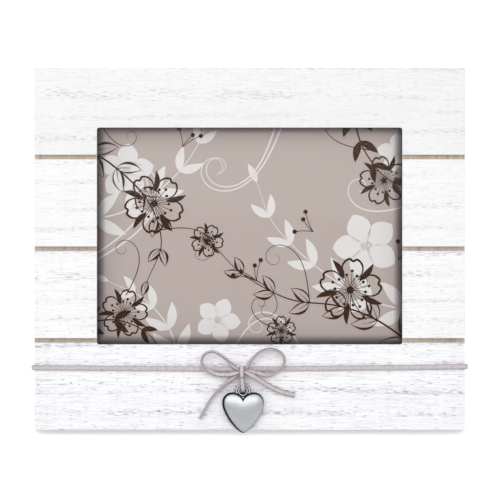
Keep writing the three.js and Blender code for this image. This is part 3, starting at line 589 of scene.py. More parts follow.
recover("card", card_material("taupe_card", "#CEC0BB"))


class Ink:
    """Flat strokes of one ink, as quads in x and z that share no corners."""

    def __init__(self):
        self.points = []
        self.faces = []

    def stroke(self, path, width):
        """A stroke along path whose width is width(t), with t from 0 to 1."""
        first = len(self.points)
        last = len(path) - 1
        for i, (x, z) in enumerate(path):
            before, after = beside(path, i)
            dx, dz = after[0] - before[0], after[1] - before[1]
            half = width(i / last) / 2 / (math.hypot(dx, dz) or 1)
            self.points.append((x - dz * half, z + dx * half))
            self.points.append((x + dz * half, z - dx * half))
        for a in range(first, first + 2 * last, 2):
            self.faces.append((a, a + 1, a + 3, a + 2))


def bent_path(x, z, heading, length, bend, count=16, curl=1, slack=0):
    """Points of a line that starts at x, z and turns by bend degrees over its length, evenly
    for a curl of 1, or more and more with slack by which its steps shrink."""
    path = [(x, z)]
    for i in range(count):
        t = (i + 0.5) / count
        turn = math.radians(heading + bend * t**curl)
        step = length / count * (1 - slack * t)
        x += step * math.cos(turn)
        z += step * math.sin(turn)
        path.append((x, z))
    return path


def leaf_width(t):
    """An almond leaf's share of its full width, widest a little below the middle."""
    return math.sin(math.pi * t**0.85) ** 0.9 if 0 < t < 1 else 0


def filled_leaf(ink, x, z, heading, length, bend, fat=0.34):
    path = bent_path(x, z, heading, length, bend)
    ink.stroke(path, lambda t: 0.15 + fat * length * leaf_width(t))


def open_leaf(ink, x, z, heading, length, bend, fat=0.4, pen=0.55):
    """A leaf drawn as an outline, one side heavy and the other fine, with half a midrib."""
    path = bent_path(x, z, heading, length, bend, 20)
    for side, weight in ((1, 2.2), (-1, 1)):
        edge = []
        for i, (px, pz) in enumerate(path):
            t = i / (len(path) - 1)
            turn = math.radians(heading + bend * t + 90)
            off = side * fat * length * leaf_width(t) / 2
            edge.append((px + off * math.cos(turn), pz + off * math.sin(turn)))
        ink.stroke(edge, lambda t, w=weight: pen * (0.5 + w * math.sin(math.pi * t) ** 2))
    ink.stroke(path[:13], lambda t: pen * (1 - 0.8 * t))


def dot(ink, x, z, radius):
    path = [(x + radius * math.cos(math.pi * i / 10), z) for i in range(11)]
    ink.stroke(path, lambda t: 2 * radius * math.sin(math.pi * t))


def tendril(ink, x, z, heading, length, bend, pen=0.5):
    """A thin stem that winds up into a spiral."""
    path = bent_path(x, z, heading, length, bend, 70, curl=2.4, slack=0.55)
    ink.stroke(path, lambda t: pen * (1.15 - 0.8 * t))


def blossom(ink, x, z, radius, first, filled=False, petals=5):
    """Round petals, either filled, or drawn as outlines with a small notch, with narrow
    sepals between them and stamens."""
    shape = ((0.1, 0.03), (0.3, 0.17), (0.6, 0.33), (0.85, 0.3), (1, 0.13), (0.93, 0))
    rim = smooth_route([*shape, *[(a, -b) for a, b in shape[-2::-1]]], step=0.045)
    for heading in [first + k * 360 / petals for k in range(petals)]:
        if filled:
            petal = bent_path(x, z, heading, radius, 0)
            ink.stroke(
                petal,
                lambda t: 0.72 * radius * math.sin(math.pi * min(t, 0.999) ** 1.25) ** 0.75,
            )
            continue
        c, s = math.cos(math.radians(heading)), math.sin(math.radians(heading))
        petal = [(x + radius * (a * c - b * s), z + radius * (a * s + b * c)) for a, b in rim]
        ink.stroke(petal, lambda t: 0.3 + 0.055 * radius * math.sin(math.pi * t) ** 2)
        between = heading + 180 / petals
        sepal = bent_path(x, z, between, 0.42 * radius, 0, 1)[-1]
        filled_leaf(ink, *sepal, between - 16, radius * 0.72, 34, 0.26)
        for lean_by in (-13, 0, 13):
            reach = radius * (0.5 if lean_by else 0.62)
            stamen = bent_path(x, z, heading + lean_by, reach, lean_by, 8)
            ink.stroke(stamen, lambda t: 0.32)
            dot(ink, *stamen[-1], 0.035 * radius + 0.25)
    dot(ink, x, z, radius * (0.16 if filled else 0.12))


def branch(ink, stops, leaves, leaf_length, leaf, pen=0.9, first=0.08):
    """A stem through stops with pairs of leaves that shrink towards its tip."""
    path = smooth_route(stops, step=1.5)
    ink.stroke(path, lambda t: pen * (1.2 - 0.85 * t))
    for k in range(leaves):
        t = first + (1 - first) * k / leaves
        i = int(t * (len(path) - 2))
        x, z = path[i]
        heading = math.degrees(math.atan2(path[i + 1][1] - z, path[i + 1][0] - x))
        size = leaf_length * (1 - 0.45 * t)
        for side in (1, -1):
            leaf(ink, x, z, heading + side * (52 - 12 * t), size, -side * 26)
    x, z = path[-1]
    heading = math.degrees(math.atan2(z - path[-3][1], x - path[-3][0]))
    leaf(ink, x, z, heading, leaf_length * 0.55, 8)


def berries(ink, x, z, heading, count, pen=0.4):
    for k in range(count):
        side = 1 if k % 2 else -1
        stalk = bent_path(x, z, heading + side * (10 + 9 * k), 9 + 1.6 * k, side * 22, 12)
        ink.stroke(stalk, lambda t: pen)
        dot(ink, *stalk[-1], 1.25)


pale = Ink()
branch(pale, ((96, 66), (66, 74), (38, 92), (14, 116), (4, 140)), 6, 21, filled_leaf, 0.8)
branch(pale, ((-94, 118), (-70, 124), (-46, 140), (-30, 160), (-22, 182)), 5, 20, filled_leaf, 0.8)
branch(pale, ((-40, 40), (-46, 58), (-60, 74), (-80, 84)), 4, 18, filled_leaf, 0.8)
for place in ((66, 104, 19, 40), (-70, 146, 16, 12), (-18, 62, 13, 66), (84, 156, 12, 20)):
    blossom(pale, *place, filled=True)
for curl in (
    (-92, 96, 34, 150, 470),
    (-92, 93, 30, 158, 440),
    (20, 176, -112, 140, -430),
    (16, 176, -108, 128, -460),
    (94, 128, 196, 92, -400),
    (30, 44, 118, 84, 420),
    (-10, 44, 60, 70, -380),
):
    tendril(pale, *curl, 0.85)

dark = Ink()
branch(dark, ((98, 44), (72, 62), (50, 70), (22, 74), (-4, 88), (-20, 104)), 6, 17, open_leaf, 1)
branch(dark, ((-96, 160), (-78, 150), (-58, 130), (-50, 106), (-58, 84)), 5, 16, open_leaf, 1)
branch(dark, ((58, 182), (64, 160), (78, 142), (98, 134)), 4, 14, filled_leaf, 0.9)
branch(dark, ((-96, 60), (-76, 62), (-60, 56), (-48, 44)), 3, 13, filled_leaf, 0.9)
for place in (
    (57, 79, 17.5, 12),
    (-54, 128, 16.5, 50),
    (-71, 66, 13, 4),
    (76, 141, 13.5, 30),
    (-24, 107, 9, 62),
    (18, 56, 8, 20),
):
    blossom(dark, *place)
for place in ((4, 84, 118, 4), (-38, 160, 70, 3), (36, 112, 150, 3), (84, 96, 60, 3)):
    berries(dark, *place)
for curl in (
    (34, 72, 96, 92, 430),
    (-56, 112, 10, 88, -420),
    (-70, 76, 62, 76, 440),
    (70, 158, 172, 78, -400),
    (66, 62, 128, 60, -420),
    (-4, 88, -24, 66, -380),
    (-86, 176, -60, 58, 390),
    (18, 56, 160, 56, -430),
):
    tendril(dark, *curl)

for name, ink, proud, colour in (
    ("print_pale_ink", pale, 0.03, "#FAF7F6"),
    ("print_dark_ink", dark, 0.06, "#40230F"),
):
    points = [(x, CARD_FRONT - proud, z) for x, z in ink.points]
    layer = mesh_piece(name, points, ink.faces, card_material(name, colour), smooth=False)
    trimmed = bmesh.new()
    trimmed.from_mesh(layer.data)
    for side, x, z in (
        ((1, 0, 0), PRINT_HALF, 0),
        ((-1, 0, 0), -PRINT_HALF, 0),
        ((0, 0, 1), 0, PRINT_TOP),
        ((0, 0, -1), 0, PRINT_BOTTOM),
    ):
        bmesh.ops.bisect_plane(
            trimmed,
            geom=[*trimmed.verts, *trimmed.edges, *trimmed.faces],
            plane_co=stand @ Vector((x, CARD_FRONT, z)),
            plane_no=tilt.to_3x3() @ Vector(side),
            clear_outer=True,
        )
    trimmed.to_mesh(layer.data)
    trimmed.free()
    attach(layer, "frame")

# Cardboard pad: corrugated board that presses the card against the glass. Its two liners
# are brown kraft paper, faintly ribbed by the upright flutes behind them.
FLUTE_SPACING = 7


def cardboard_material():
    """Kraft liner: warm brown, flecked with fibres, ribbed where it is glued to the flutes."""
    material, add, shader = new_material("kraft_corrugated_board", Roughness=0.9)
    place = upright_place(add)
    fibres = add("TexNoise", place, Scale=1 / (0.8 * MM), Detail=5)
    colour = add("ValToRGB", fibres, stops=((0.3, "#8F6C46"), (0.7, "#B8925F")))
    flutes = add("TexWave", place, Scale=1 / (WAVE_BANDS * FLUTE_SPACING * MM))
    ribs = add("Bump", Strength=0.4, Distance=0.1 * MM, Height=flutes.outputs["Fac"])
    fill(shader, Base_Color=colour, Normal=ribs)
    return material


recover("pad", cardboard_material())

# Back board: 3 mm hardboard faced with a black film, drilled for the hinge's rivets. The
# easel leg is cut from the same board.
def hardboard_material():
    """Black filmed hardboard: nearly black and matt, pressed with a fine leathery grain that
    scatters the light, and rubbed a little paler in patches."""
    material, add, shader = new_material("black_filmed_hardboard")
    place = upright_place(add)
    pressed = add("TexVoronoi", place, feature="SMOOTH_F1", Scale=1 / (1.1 * MM), Smoothness=0.6)
    rubbed = add("TexNoise", place, Scale=1 / (18 * MM), Detail=5)
    colour = add("ValToRGB", rubbed, stops=((0.35, "#1F1D1B"), (0.75, "#34312E")))
    rough = add("MapRange", rubbed, 0, 1, 0.82, 0.5)
    grain = add("Bump", Strength=0.35, Distance=0.15 * MM, Height=pressed)
    fill(shader, Base_Color=colour, Roughness=rough, Normal=grain)
    return material


hardboard = hardboard_material()
finished_copy("back_board_panel", "frame", "black_hardboard", hardboard, "back_board", edge=0.3)

# Turn buttons: flat keys stamped from 1 mm steel and zinc plated, one end bent up for a
# thumb. Each turns on its own screw.
def zinc_material():
    """Bright zinc plate on stamped steel: cool grey, fine brushing from the strip, and a
    dulled, slightly mottled film."""
    material, add, shader = new_material("zinc_plated_steel", Metallic=1)
    place = upright_place(add)
    mottle = add("TexNoise", place, Scale=1 / (2.5 * MM), Detail=5)
    colour = add("ValToRGB", mottle, stops=((0.3, "#A3A7AA"), (0.7, "#C6C9CB")))
    rough = add("MapRange", mottle, 0, 1, 0.24, 0.46)
    along = upright_place(add, (0.05, 1, 1))
    brushed = add("TexNoise", along, Scale=1 / (0.3 * MM), Detail=2)
    lines = add("Bump", Strength=0.2, Distance=0.03 * MM, Height=brushed)
    fill(shader, Base_Color=colour, Roughness=rough, Normal=lines)
    return material


zinc = zinc_material()
BACK_FACE = 18.25
BUTTON_PLACES = ("top_left", "top_right", "bottom_left", "bottom_right", "left", "right")
for place in BUTTON_PLACES:
    node = "button_" + place
    finished_copy(node + "_key", node, "plated_steel", zinc, node, edge=0.12)

# Fasteners: slotted screws, staples, nails and rivets. Each kind is made once, standing up
# along +Y, and Geometry Nodes put a copy on each of its points. The screws are turned a little
# at random, as a hand leaves them.
def fastener_tree():
    """One copy of the fastener on each point, turned about its own axis by up to Loose Turn
    either way."""
    tree = bpy.data.node_groups.new("fasteners_in_place", "GeometryNodeTree")
    add = partial(add_node, tree)
    kinds = {"Points": "Geometry", "Fastener": "Object", "Loose Turn": "Float", "Seed": "Int"}
    for name, kind in [*kinds.items(), ("Material", "Material")]:
        tree.interface.new_socket(name, in_out="INPUT", socket_type="NodeSocket" + kind)
    tree.interface.new_socket("Fasteners", in_out="OUTPUT", socket_type="NodeSocketGeometry")
    given = add("NodeGroupInput").outputs
    made = add("GeometryNodeObjectInfo", given["Fastener"]).outputs["Geometry"]
    most = given["Loose Turn"]
    least = add("Math", most, -1, operation="MULTIPLY")
    loose = add("FunctionNodeRandomValue", least, most, data_type="FLOAT", Seed=given["Seed"])
    turn = add("CombineXYZ", Y=loose)
    copies = add("GeometryNodeInstanceOnPoints", given["Points"], Instance=made, Rotation=turn)
    solid = add("GeometryNodeRealizeInstances", copies)
    coated = add("GeometryNodeSetMaterial", solid, Material=given["Material"])
    add("NodeGroupOutput", coated)
    return tree


fasteners = fastener_tree()


def as_made(*pieces):
    """A plain mesh of what the first object's modifiers make. The objects then go."""
    bpy.context.view_layer.update()
    graph = bpy.context.evaluated_depsgraph_get()
    mesh = bpy.data.meshes.new_from_object(pieces[0].evaluated_get(graph), depsgraph=graph)
    for piece in pieces:
        bpy.data.objects.remove(piece)
    return mesh


def turned_mesh(name, shank, under, head):
    """A round solid about the Y axis from (radius, y) pairs. The head's y counts from under."""
    work = bmesh.new()
    profile = [*shank, *[(radius, under + y) for radius, y in head]]
    line = [work.verts.new((radius, y, 0)) for radius, y in profile]
    edges = [work.edges.new(pair) for pair in zip(line, line[1:])]
    about_y = {"axis": (0, 1, 0), "cent": (0, 0, 0), "steps": 40, "angle": 2 * math.pi}
    bmesh.ops.spin(work, geom=[*line, *edges], use_merge=True, **about_y)
    bmesh.ops.remove_doubles(work, verts=work.verts, dist=1e-4)
    bmesh.ops.recalc_face_normals(work, faces=work.faces)
    return made_mesh(name, work)


def fasten(name, body, fastener, places, nodes, loose=0.0, seed=1, lift=None):
    """Copies of one fastener's mesh at places on the upright frame, made one mesh of one
    body. Lift moves them as one."""
    holder_mesh = bpy.data.meshes.new(name)
    holder_mesh.from_pydata(places, [], [])
    holder = put_in_scene(name + "_points", holder_mesh)
    one = put_in_scene(fastener.name, fastener)
    modifier = holder.modifiers.new("fasteners", "NODES")
    modifier.node_group = fasteners
    given = {"Fastener": one, "Loose Turn": loose, "Seed": seed, "Material": zinc}
    for socket in fasteners.interface.items_tree:
        if socket.name in given:
            modifier[socket.identifier] = given[socket.name]
    mesh = as_made(holder, one)
    mesh.transform(stand @ (lift or Matrix.Identity(4)))
    mesh.shade_smooth()
    mesh.set_sharp_from_angle(angle=SHARP)
    return show(put_in_scene(name, mesh), body, "plated_steel", *nodes)


def back_places(nodes):
    """Where the middles of CAD nodes come on the back face of the upright frame."""
    places = []
    for node in nodes:
        corners = [stand.inverted() @ vertex.co for vertex in frame["nodes"][node].data.vertices]
        xs, _, zs = zip(*corners)
        places.append(((min(xs) + max(xs)) / 2, BACK_FACE, (min(zs) + max(zs)) / 2))
    return places


# Slotted pan-head screws of plated steel, a shank of 3 mm and a head of 6.2 mm. One goes
# through each turn button into the core, and the button turns on it.
SCREW_POINT = -7
BUTTON_STEEL = 1
SCREW_UNDER = SEAT + BUTTON_STEEL + SEAT
SCREW_HEAD = 1.7
SLOT_WIDTH = 0.8
SLOT_DEPTH = 0.8
shank = [(0, SCREW_POINT), (0.75, SCREW_POINT), (1.5, SCREW_POINT + 1.5), (1.5, SCREW_UNDER)]
head = [(2.95, 0), (3.1, 0.15), (3.1, 0.8), (2.95, 1.1), (2.5, 1.42), (1.8, 1.6), (0.9, 1.68)]
head.append((0, SCREW_HEAD))
screw = put_in_scene("pan_screw", turned_mesh("pan_screw", shank, SCREW_UNDER, head))
slot_work = bmesh.new()
at_top = Matrix.Translation((0, SCREW_UNDER + SCREW_HEAD + 1 - SLOT_DEPTH, 0))
bmesh.ops.create_cube(slot_work, size=1, matrix=at_top @ Matrix.Diagonal((SLOT_WIDTH, 2, 8, 1)))
slot_cutter = put_in_scene("driver_slot", made_mesh("driver_slot", slot_work))
cut = screw.modifiers.new("slot", "BOOLEAN")
cut.operation = "DIFFERENCE"
cut.object = slot_cutter
slotted = as_made(screw, slot_cutter)
LOOSE_TURN = math.radians(35)
nodes = ["screw_" + place for place in BUTTON_PLACES]
fasten("button_screws", "frame", slotted, back_places(nodes), nodes, LOOSE_TURN, seed=4)

# Staples: flat wire, 1.1 by 0.6 mm, with rounded bends. Four hold the core's joints and one
# lies over each end of the lace.
STAPLE_LEG = 6
STAPLE_WIRE = 0.6
STAPLE_STRIP = 1.1
STAPLE_BEND = 0.55
STAPLE_EDGE = 0.15


def add_shell(work, points, faces):
    """Adds points and faces to a bmesh, and returns the new corners."""
    corners = [work.verts.new(point) for point in points]
    for face in faces:
        work.faces.new([corners[k] for k in face])
    return corners


def quarter_circle(x, y, radius, start, steps, turn=math.pi / 2):
    """Points at steps + 1 even angles round x, y, from start to start plus turn."""
    angles = [start + turn * i / steps for i in range(steps + 1)]
    return [(x + radius * math.cos(angle), y + radius * math.sin(angle)) for angle in angles]


def staple_mesh(name, span, crown):
    """A staple whose crown's inner face stands crown above the wood, its legs driven in."""
    half = span / 2 - STAPLE_WIRE / 2
    top = crown + STAPLE_WIRE / 2 - STAPLE_BEND
    line = [(-half, -STAPLE_LEG)]
    for z, start in ((-half + STAPLE_BEND, math.pi), (half - STAPLE_BEND, math.pi / 2)):
        line += quarter_circle(z, top, STAPLE_BEND, start, 5, turn=-math.pi / 2)
    line.append((half, -STAPLE_LEG))
    flat, thin = STAPLE_STRIP / 2, STAPLE_WIRE / 2
    inner_flat, inner_thin = flat - STAPLE_EDGE, thin - STAPLE_EDGE
    section = [(flat, inner_thin), (inner_flat, thin), (-inner_flat, thin), (-flat, inner_thin)]
    section += [(-x, -y) for x, y in section]
    points = []
    for i, (z, y) in enumerate(line):
        before, after = beside(line, i)
        along = Vector((0, after[1] - before[1], after[0] - before[0])).normalized()
        out = Vector((1, 0, 0)).cross(along)
        points += [(x, y + out.y * v, z + out.z * v) for x, v in section]
    work = bmesh.new()
    add_shell(work, points, tube_faces(len(line), len(section)))
    bmesh.ops.recalc_face_normals(work, faces=work.faces)
    return made_mesh(name, work)


joint_nodes = [f"staple_corner_{a}_{b}" for a in ("top", "bottom") for b in ("left", "right")]
lace_nodes = ["staple_lace_left", "staple_lace_right"]
lace_span = LACE_WIDTH + 2 * (STAPLE_WIRE + SEAT)
for name, span, crown, nodes in (
    ("joint_staples", 10, SEAT, joint_nodes),
    ("lace_staples", lace_span, 2 * SEAT + LACE_THICKNESS, lace_nodes),
):
    staple = staple_mesh(name + "_one", span, crown)
    fasten(name, "frame", staple, back_places(nodes), nodes)

# Sawtooth hanger: a strip of plated steel nailed to the top rail by its flat ends, the
# middle raised so that a nail in the wall goes behind its teeth.
finished_copy("sawtooth_hanger", "frame", "plated_steel", zinc, "hanger_plate", edge=0.1)
HANGER_STEEL = 0.9
head = [(0.8, 0), (1.8, 0), (1.9, 0.12), (1.85, 0.4), (1.5, 0.62), (0.8, 0.69), (0, 0.7)]
nail = turned_mesh("hanger_nail", [(0, -7), (0.8, -5.5)], 2 * SEAT + HANGER_STEEL, head)
nodes = ["hanger_nail_left", "hanger_nail_right"]
fasten("hanger_nails", "frame", nail, back_places(nodes), nodes)

# Easel: a tapered leg of black hardboard on a hinge of two stamped leaves. Each leaf is
# riveted on and rolled round one pin, and two tabs on the leg's leaf meet the board when the
# leg is open.
LEG_OPENING = math.radians(26)
LEG_THICKNESS = 3
HINGE_STEEL = 0.8
HALF_HINGE = 2.025
PIN_Y = BACK_FACE + SEAT + HALF_HINGE
PIN_Z = 150.55
RIVET_SPREAD = 8
RIVET_DROP = 14.5
for name, body, slot, material, node, edge in (
    ("easel_leg", "leg", "black_hardboard", hardboard, "leg_board", 0.35),
    ("hinge_board_leaf", "frame", "plated_steel", zinc, "hinge_leaf_board", 0.1),
    ("hinge_leg_leaf", "leg", "plated_steel", zinc, "hinge_leaf_leg", 0.1),
    ("hinge_pin_rod", "frame", "plated_steel", zinc, "hinge_pin", 0.15),
):
    finished_copy(name, body, slot, material, node, edge=edge)

# Rivets of plated steel: each has a shank flared in the board and a domed head on the leaf.
# Two hold the back board's leaf, and the leg's two turn with it.
flared = -LEG_THICKNESS + SEAT
domed = SEAT + HINGE_STEEL + SEAT
tail = [(0, flared), (2.1, flared), (1.3, flared + 0.8), (1.3, domed)]
head = [(2.5, 0), (2.6, 0.1), (2.5, 0.3), (2.1, 0.55), (1.5, 0.75), (0.8, 0.87), (0, 0.9)]
opened = Matrix.Translation((0, PIN_Y, PIN_Z)) @ Matrix.Rotation(LEG_OPENING, 4, "X")
for name, body, y, z, lift in (
    ("board", "frame", BACK_FACE, PIN_Z + RIVET_DROP, None),
    ("leg", "leg", LEG_THICKNESS - HALF_HINGE, -RIVET_DROP, opened),
):
    rivet = turned_mesh("rivet", tail, domed, head)
    places = [(x, y, z) for x in (-RIVET_SPREAD, RIVET_SPREAD)]
    nodes = [f"rivet_{name}_left", f"rivet_{name}_right"]
    fasten(name + "_rivets", body, rivet, places, nodes, lift=lift)

# The band: the same lace pulled round the lower planks, stapled at the back. It rises off
# the planks only where it goes through the strap, and the painted shade along its corners is
# weaker on it than on the bow.
FACE_WIDTH = 243.3
TURN_IN = 22
BAND_LEFT = 35.2
BAND_RIGHT = 35.8
BAND_KNOT = 33.65
BAND_DIP = 0.75
DIP_END = 9
RISE_END = 13
BAND_STEPS = 240
band_rings = []
band_off = SEAT + LACE_THICKNESS / 2
half_face = FACE_WIDTH / 2
above_knot = BAND_KNOT + BAND_DIP


def band_ring(x, y, z, squeeze=1):
    band_rings.append((Vector((x, y, z)), Vector((0, 0, 1)), squeeze))


def band_corner(x, y, start, z):
    for corner_x, corner_y in quarter_circle(x, y, band_off, start, 8):
        band_ring(corner_x, corner_y, z)


band_ring(-half_face + TURN_IN, BACK_FACE + band_off, BAND_LEFT)
band_corner(-half_face, BACK_FACE, math.pi / 2, BAND_LEFT)
band_corner(-half_face, 0, math.pi, BAND_LEFT)
for i in range(1, BAND_STEPS):
    x = -half_face + i * FACE_WIDTH / BAND_STEPS
    end = BAND_LEFT if x < KNOT_X else BAND_RIGHT
    reach = half_face + (KNOT_X if x < KNOT_X else -KNOT_X)
    share = abs(x - KNOT_X) / reach
    z = above_knot + (end - above_knot) * share - BAND_DIP * near_knot(x, DIP_END)
    rise = (knot_layer(0) - band_off) * near_knot(x, RISE_END)
    band_ring(x, -band_off - rise, z, squeeze_at(x))
band_corner(half_face, 0, -math.pi / 2, BAND_RIGHT)
band_corner(half_face, BACK_FACE, 0, BAND_RIGHT)
band_ring(half_face - TURN_IN, BACK_FACE + band_off, BAND_RIGHT)
lace_piece("band", band_rings, "frame", "lace_band", cut=0.4)

# The strap: a short end of lace wound once round the band and the bow and glued behind. It
# is drawn thin by its own tension.
KNOT_TOP = 36.4
KNOT_BOTTOM = 29.5
STRAP_CORNER = 1.1
STRAP_SQUEEZE = 0.8
strap_front = knot_layer(3) + SQUEEZED / 2 + SEAT + STRAP_THICKNESS / 2 - STRAP_CORNER
strap_back = SEAT + STRAP_THICKNESS / 2 + STRAP_CORNER
strap_low = KNOT_BOTTOM + STRAP_THICKNESS / 2 + STRAP_CORNER
strap_high = KNOT_TOP - STRAP_THICKNESS / 2 - STRAP_CORNER
sideways = Vector((1, 0, 0))
strap_rings = []
for middle_y, middle_z, start in (
    (-strap_front, strap_low, -math.pi),
    (-strap_back, strap_low, -math.pi / 2),
    (-strap_back, strap_high, 0),
    (-strap_front, strap_high, math.pi / 2),
):
    for y, z in quarter_circle(middle_y, middle_z, STRAP_CORNER, start, 6):
        strap_rings.append((Vector((KNOT_X, y, z)), sideways, STRAP_SQUEEZE))
lace_piece("strap", strap_rings, "frame", "bow_strap", closed=True, wide=1.25)

# The heart's loop: lace that comes from under the strap, goes through the bail from the
# front and back up behind it. It bends at the strap when the heart is lifted.
LOOP_SQUEEZE = 0.9
loop_top = KNOT_BOTTOM - SEAT
loop_stops = [
    (-4.4, 5, loop_top),
    (-4.2, 5.1, 27.5),
    (-4, 4.95, 25.6),
    (-3.8, 4.35, 23.8),
    (-3.7, 3.5, 22.5),
    (-3.7, 2.75, 22.15),
    (-3.7, 2, 22.5),
    (-3.8, 1.15, 24),
    (-4, 1, 25.8),
    (-4.2, 1.05, 27.6),
    (-4.4, 1.3, loop_top),
]
loop_route = smooth_route(loop_stops, step=0.4)
loop_rings = [(Vector((x, -front, z)), sideways, LOOP_SQUEEZE) for x, front, z in loop_route]
lace_piece("heart_loop", loop_rings, "heart_lace", "heart_lace", wide=1.1)

# Heart: a small charm cast in pewter, domed on both sides, in one with a bail of two round
# beads. Its steep sides are darkened, partly as patina and partly as painted shade and painted
# reflection, most of all at the upper left. The small beads are darkened evenly, all round.
HEART_MIDDLE = 12.5
HEART_TIP = (0, -1.6)
LOBE_TOP = (5.9, 21.4)
HEART_SIDE = (11.8, 15.3)
FRONT_DOME = 3
BACK_DOME = 2.2
DOME_POWER = 2.4
CLEFT_RUN = 8.8
RAISED = 0.9
SMOOTHINGS = 30
BAIL_HOLE = 1.78
INNER_BEAD = 0.64
OUTER_BEAD = 0.74
BEAD_OVERLAP = 0.1
PATINA_SHADE_START = 0.08
PATINA_SHADE_FULL = 0.42
BAIL_PATINA_SHADE = 0.75
ROWS = 40
CURVE_STEPS = 26
heart_curves = (
    ((0, 17.5), (0.6, 19.4), (2.9, 21.4), LOBE_TOP),
    (LOBE_TOP, (9.3, 21.4), (11.8, 18.9), HEART_SIDE),
    (HEART_SIDE, (11.8, 9.2), (3.4, -1.6), HEART_TIP),
)
right_side = []
for curve in heart_curves:
    a, b, c, d = [Vector(point) for point in curve]
    for t in [i / CURVE_STEPS for i in range(CURVE_STEPS)]:
        s = 1 - t
        right_side.append(a * s**3 + 3 * b * t * s**2 + 3 * c * t**2 * s + d * t**3)
heart_rim = [*right_side, HEART_TIP, *[(-x, z) for x, z in right_side[:0:-1]]]
around = len(heart_rim)
points = [(0, -FRONT_DOME, HEART_MIDDLE)]
for row in range(1, ROWS):
    out = math.sin(math.pi * row / ROWS)
    dome = FRONT_DOME if row <= ROWS / 2 else -BACK_DOME
    near_rim = min(max((out - 0.5) / 0.5, 0), 1) ** 2
    for x, z in heart_rim:
        in_cleft = abs(x) < LOBE_TOP[0] and z > HEART_MIDDLE
        share = min((z - HEART_MIDDLE) / CLEFT_RUN, 1) if in_cleft else 1
        level = out * (share + (1 - share) * near_rim)
        raised = math.sqrt(1 - level**DOME_POWER) * dome
        points.append((x * out, -raised, HEART_MIDDLE + (z - HEART_MIDDLE) * out))
points.append((0, BACK_DOME, HEART_MIDDLE))
faces = []
for i in range(around):
    turn = (i + 1) % around
    faces.append((0, 1 + i, 1 + turn))
    for a in range(1, 1 + (ROWS - 2) * around, around):
        b = a + around
        faces.append((a + i, b + i, b + turn, a + turn))
    faces.append((b + turn, b + i, len(points) - 1))
cast = bmesh.new()
corners = add_shell(cast, points, faces)
raised_corners = [corner for corner in corners[1:-1] if corner.co.y < -RAISED]
for _ in range(SMOOTHINGS):
    bmesh.ops.smooth_vert(cast, verts=raised_corners, factor=0.5, use_axis_y=True)


def add_bead(middle, radius, steps=72, sides=20):
    """A round bead bent into a ring round the bail's hole."""
    bead = []
    for angle in [2 * math.pi * i / steps for i in range(steps)]:
        for turn in [2 * math.pi * j / sides for j in range(sides)]:
            reach = middle + radius * math.cos(turn)
            y, z = radius * math.sin(turn), BAIL_Z + reach * math.sin(angle)
            bead.append((reach * math.cos(angle), y, z))
    add_shell(cast, bead, tube_faces(steps, sides, closed=True))


add_bead(BAIL_HOLE + INNER_BEAD, INNER_BEAD)
add_bead(BAIL_HOLE + 2 * INNER_BEAD + OUTER_BEAD - BEAD_OVERLAP, OUTER_BEAD)
bail_foot = ((-3.7, 21.2), (3.7, 21.2), (4.9, 19.6), (1.1, 17), (-1.1, 17), (-4.9, 19.6))
foot_points = [(x, y, z) for y in (-0.6, 0.6) for x, z in bail_foot]
add_shell(cast, foot_points, tube_faces(2, len(bail_foot)))
bmesh.ops.recalc_face_normals(cast, faces=cast.faces)
heart_mesh = made_mesh("heart_charm", cast)
heart_mesh.transform(Matrix.Translation((HEART_X, -HEART_PLANE, 0)))
patina = heart_mesh.attributes.new("patina", "FLOAT", "POINT")
# Patina in the hollows, and painted shade and painted reflection on the steep sides, heaviest at
# the upper left.
for vertex in heart_mesh.vertices:
    x, y, z = vertex.normal
    shade_and_tarnish_weight = 1 + 1.6 * max(-x, 0) - 0.7 * max(x, 0) + max(z, 0) - 0.3 * max(-z, 0)
    if vertex.index >= len(points):
        shade_and_tarnish_weight = BAIL_PATINA_SHADE
    steep = (1 - abs(y)) * shade_and_tarnish_weight
    patina.data[vertex.index].value = smooth_share(steep, PATINA_SHADE_START, PATINA_SHADE_FULL)
heart_mesh.transform(stand)


def pewter_material():
    """Antiqued pewter: a soft mid-grey polish with a satin blur and fine casting pits, darkened
    as patina in its hollows and as painted shade and painted reflection on its steep sides."""
    material, add, shader = new_material("antiqued_pewter", Metallic=1)
    place = upright_place(add)
    black = add("Attribute", attribute_name="patina").outputs["Fac"]
    cloud = add("TexNoise", place, Scale=1 / (1.2 * MM), Detail=5)
    patchy = add("Math", cloud, 0.16, -0.08, operation="MULTIPLY_ADD")
    stained = add("Math", black, patchy, operation="ADD", use_clamp=True)
    colour = add("ValToRGB", stained, stops=((0, "#A4A7A9"), (0.4, "#575C5E"), (0.8, "#171B1D")))
    rough = add("MapRange", stained, 0, 1, 0.29, 0.5)
    pits = add("TexNoise", place, Scale=1 / (0.35 * MM), Detail=3)
    pitted = add("Bump", Strength=0.06, Distance=0.02 * MM, Height=pits)
    fill(shader, Base_Color=colour, Roughness=rough, Normal=pitted)
    return material


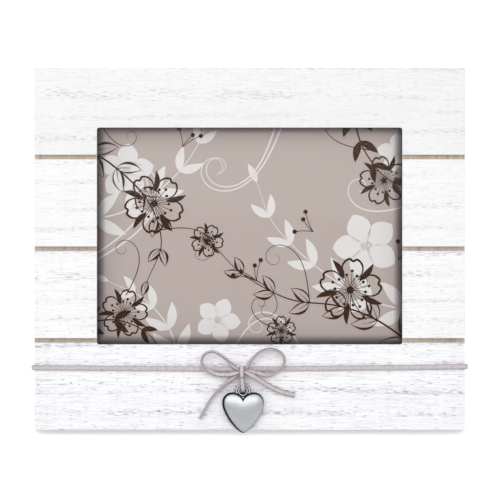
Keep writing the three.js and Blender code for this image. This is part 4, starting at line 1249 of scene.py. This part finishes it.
heart_mesh.materials.clear()
heart_mesh.materials.append(pewter_material())
heart_mesh.shade_smooth()
show(put_in_scene("heart_charm", heart_mesh), "heart", "cast_pewter", "heart")

# Floor and light: a plain white sweep, even light from all round, one wide strip lamp in
# front and above, and a softbox nearer the frame. What the camera sees of the floor is lifted
# to white and keeps the frame's shadow.
def seen_rays(add):
    """1 on the rays by which the floor or the room is seen, straight, as a mirror image or
    through glass, and 0 on those that a matt surface sends out for its light."""
    path = add("LightPath").outputs
    seen = path["Is Camera Ray"]
    for kind, operation in (
        ("Is Glossy Ray", "ADD"),
        ("Is Transmission Ray", "ADD"),
        ("Diffuse Depth", "SUBTRACT"),
    ):
        seen = add("Math", seen, path[kind], operation=operation, use_clamp=True)
    return seen


bpy.context.scene.view_settings.view_transform = "Standard"
floor_mesh = bpy.data.meshes.new("floor")
floor_mesh.from_pydata([(-6, -6, 0), (6, -6, 0), (6, 6, 0), (-6, 6, 0)], [], [(0, 1, 2, 3)])
floor_material, add, shader = new_material("white_floor", Roughness=0.9)
lifted = add("Math", seen_rays(add), 0.6, operation="MULTIPLY")
fill(shader, Base_Color=srgb("#F2F2F2"), Emission_Color=srgb("#FFFFFF"), Emission_Strength=lifted)
floor_mesh.materials.append(floor_material)
put_in_scene("floor", floor_mesh)

world = bpy.data.worlds.new("studio")
world.use_nodes = True
add = partial(add_node, world.node_tree)
strength = add("MapRange", seen_rays(add), 0, 1, 0.56, 1)
fill(world.node_tree.nodes["Background"], Color=srgb("#FFFFFF"), Strength=strength)
bpy.context.scene.world = world
face_middle = stand @ Vector((0, 0, 102))
for name, width, height, energy, offset in (
    ("overhead_softbox", 8.4, 1.5, 25, (0.5, -3.5, 1.95)),
    ("key_softbox", 2.6, 1.4, 14.6, (-0.3, -1.35, 1.05)),
):
    lamp = put_in_scene(name, bpy.data.lights.new(name, "AREA"))
    lamp.data.shape = "RECTANGLE"
    lamp.data.size = width
    lamp.data.size_y = height
    lamp.data.energy = energy
    lamp.location = face_middle + Vector(offset)
    lamp.rotation_euler = (face_middle - lamp.location).to_track_quat("-Z", "Y").to_euler()
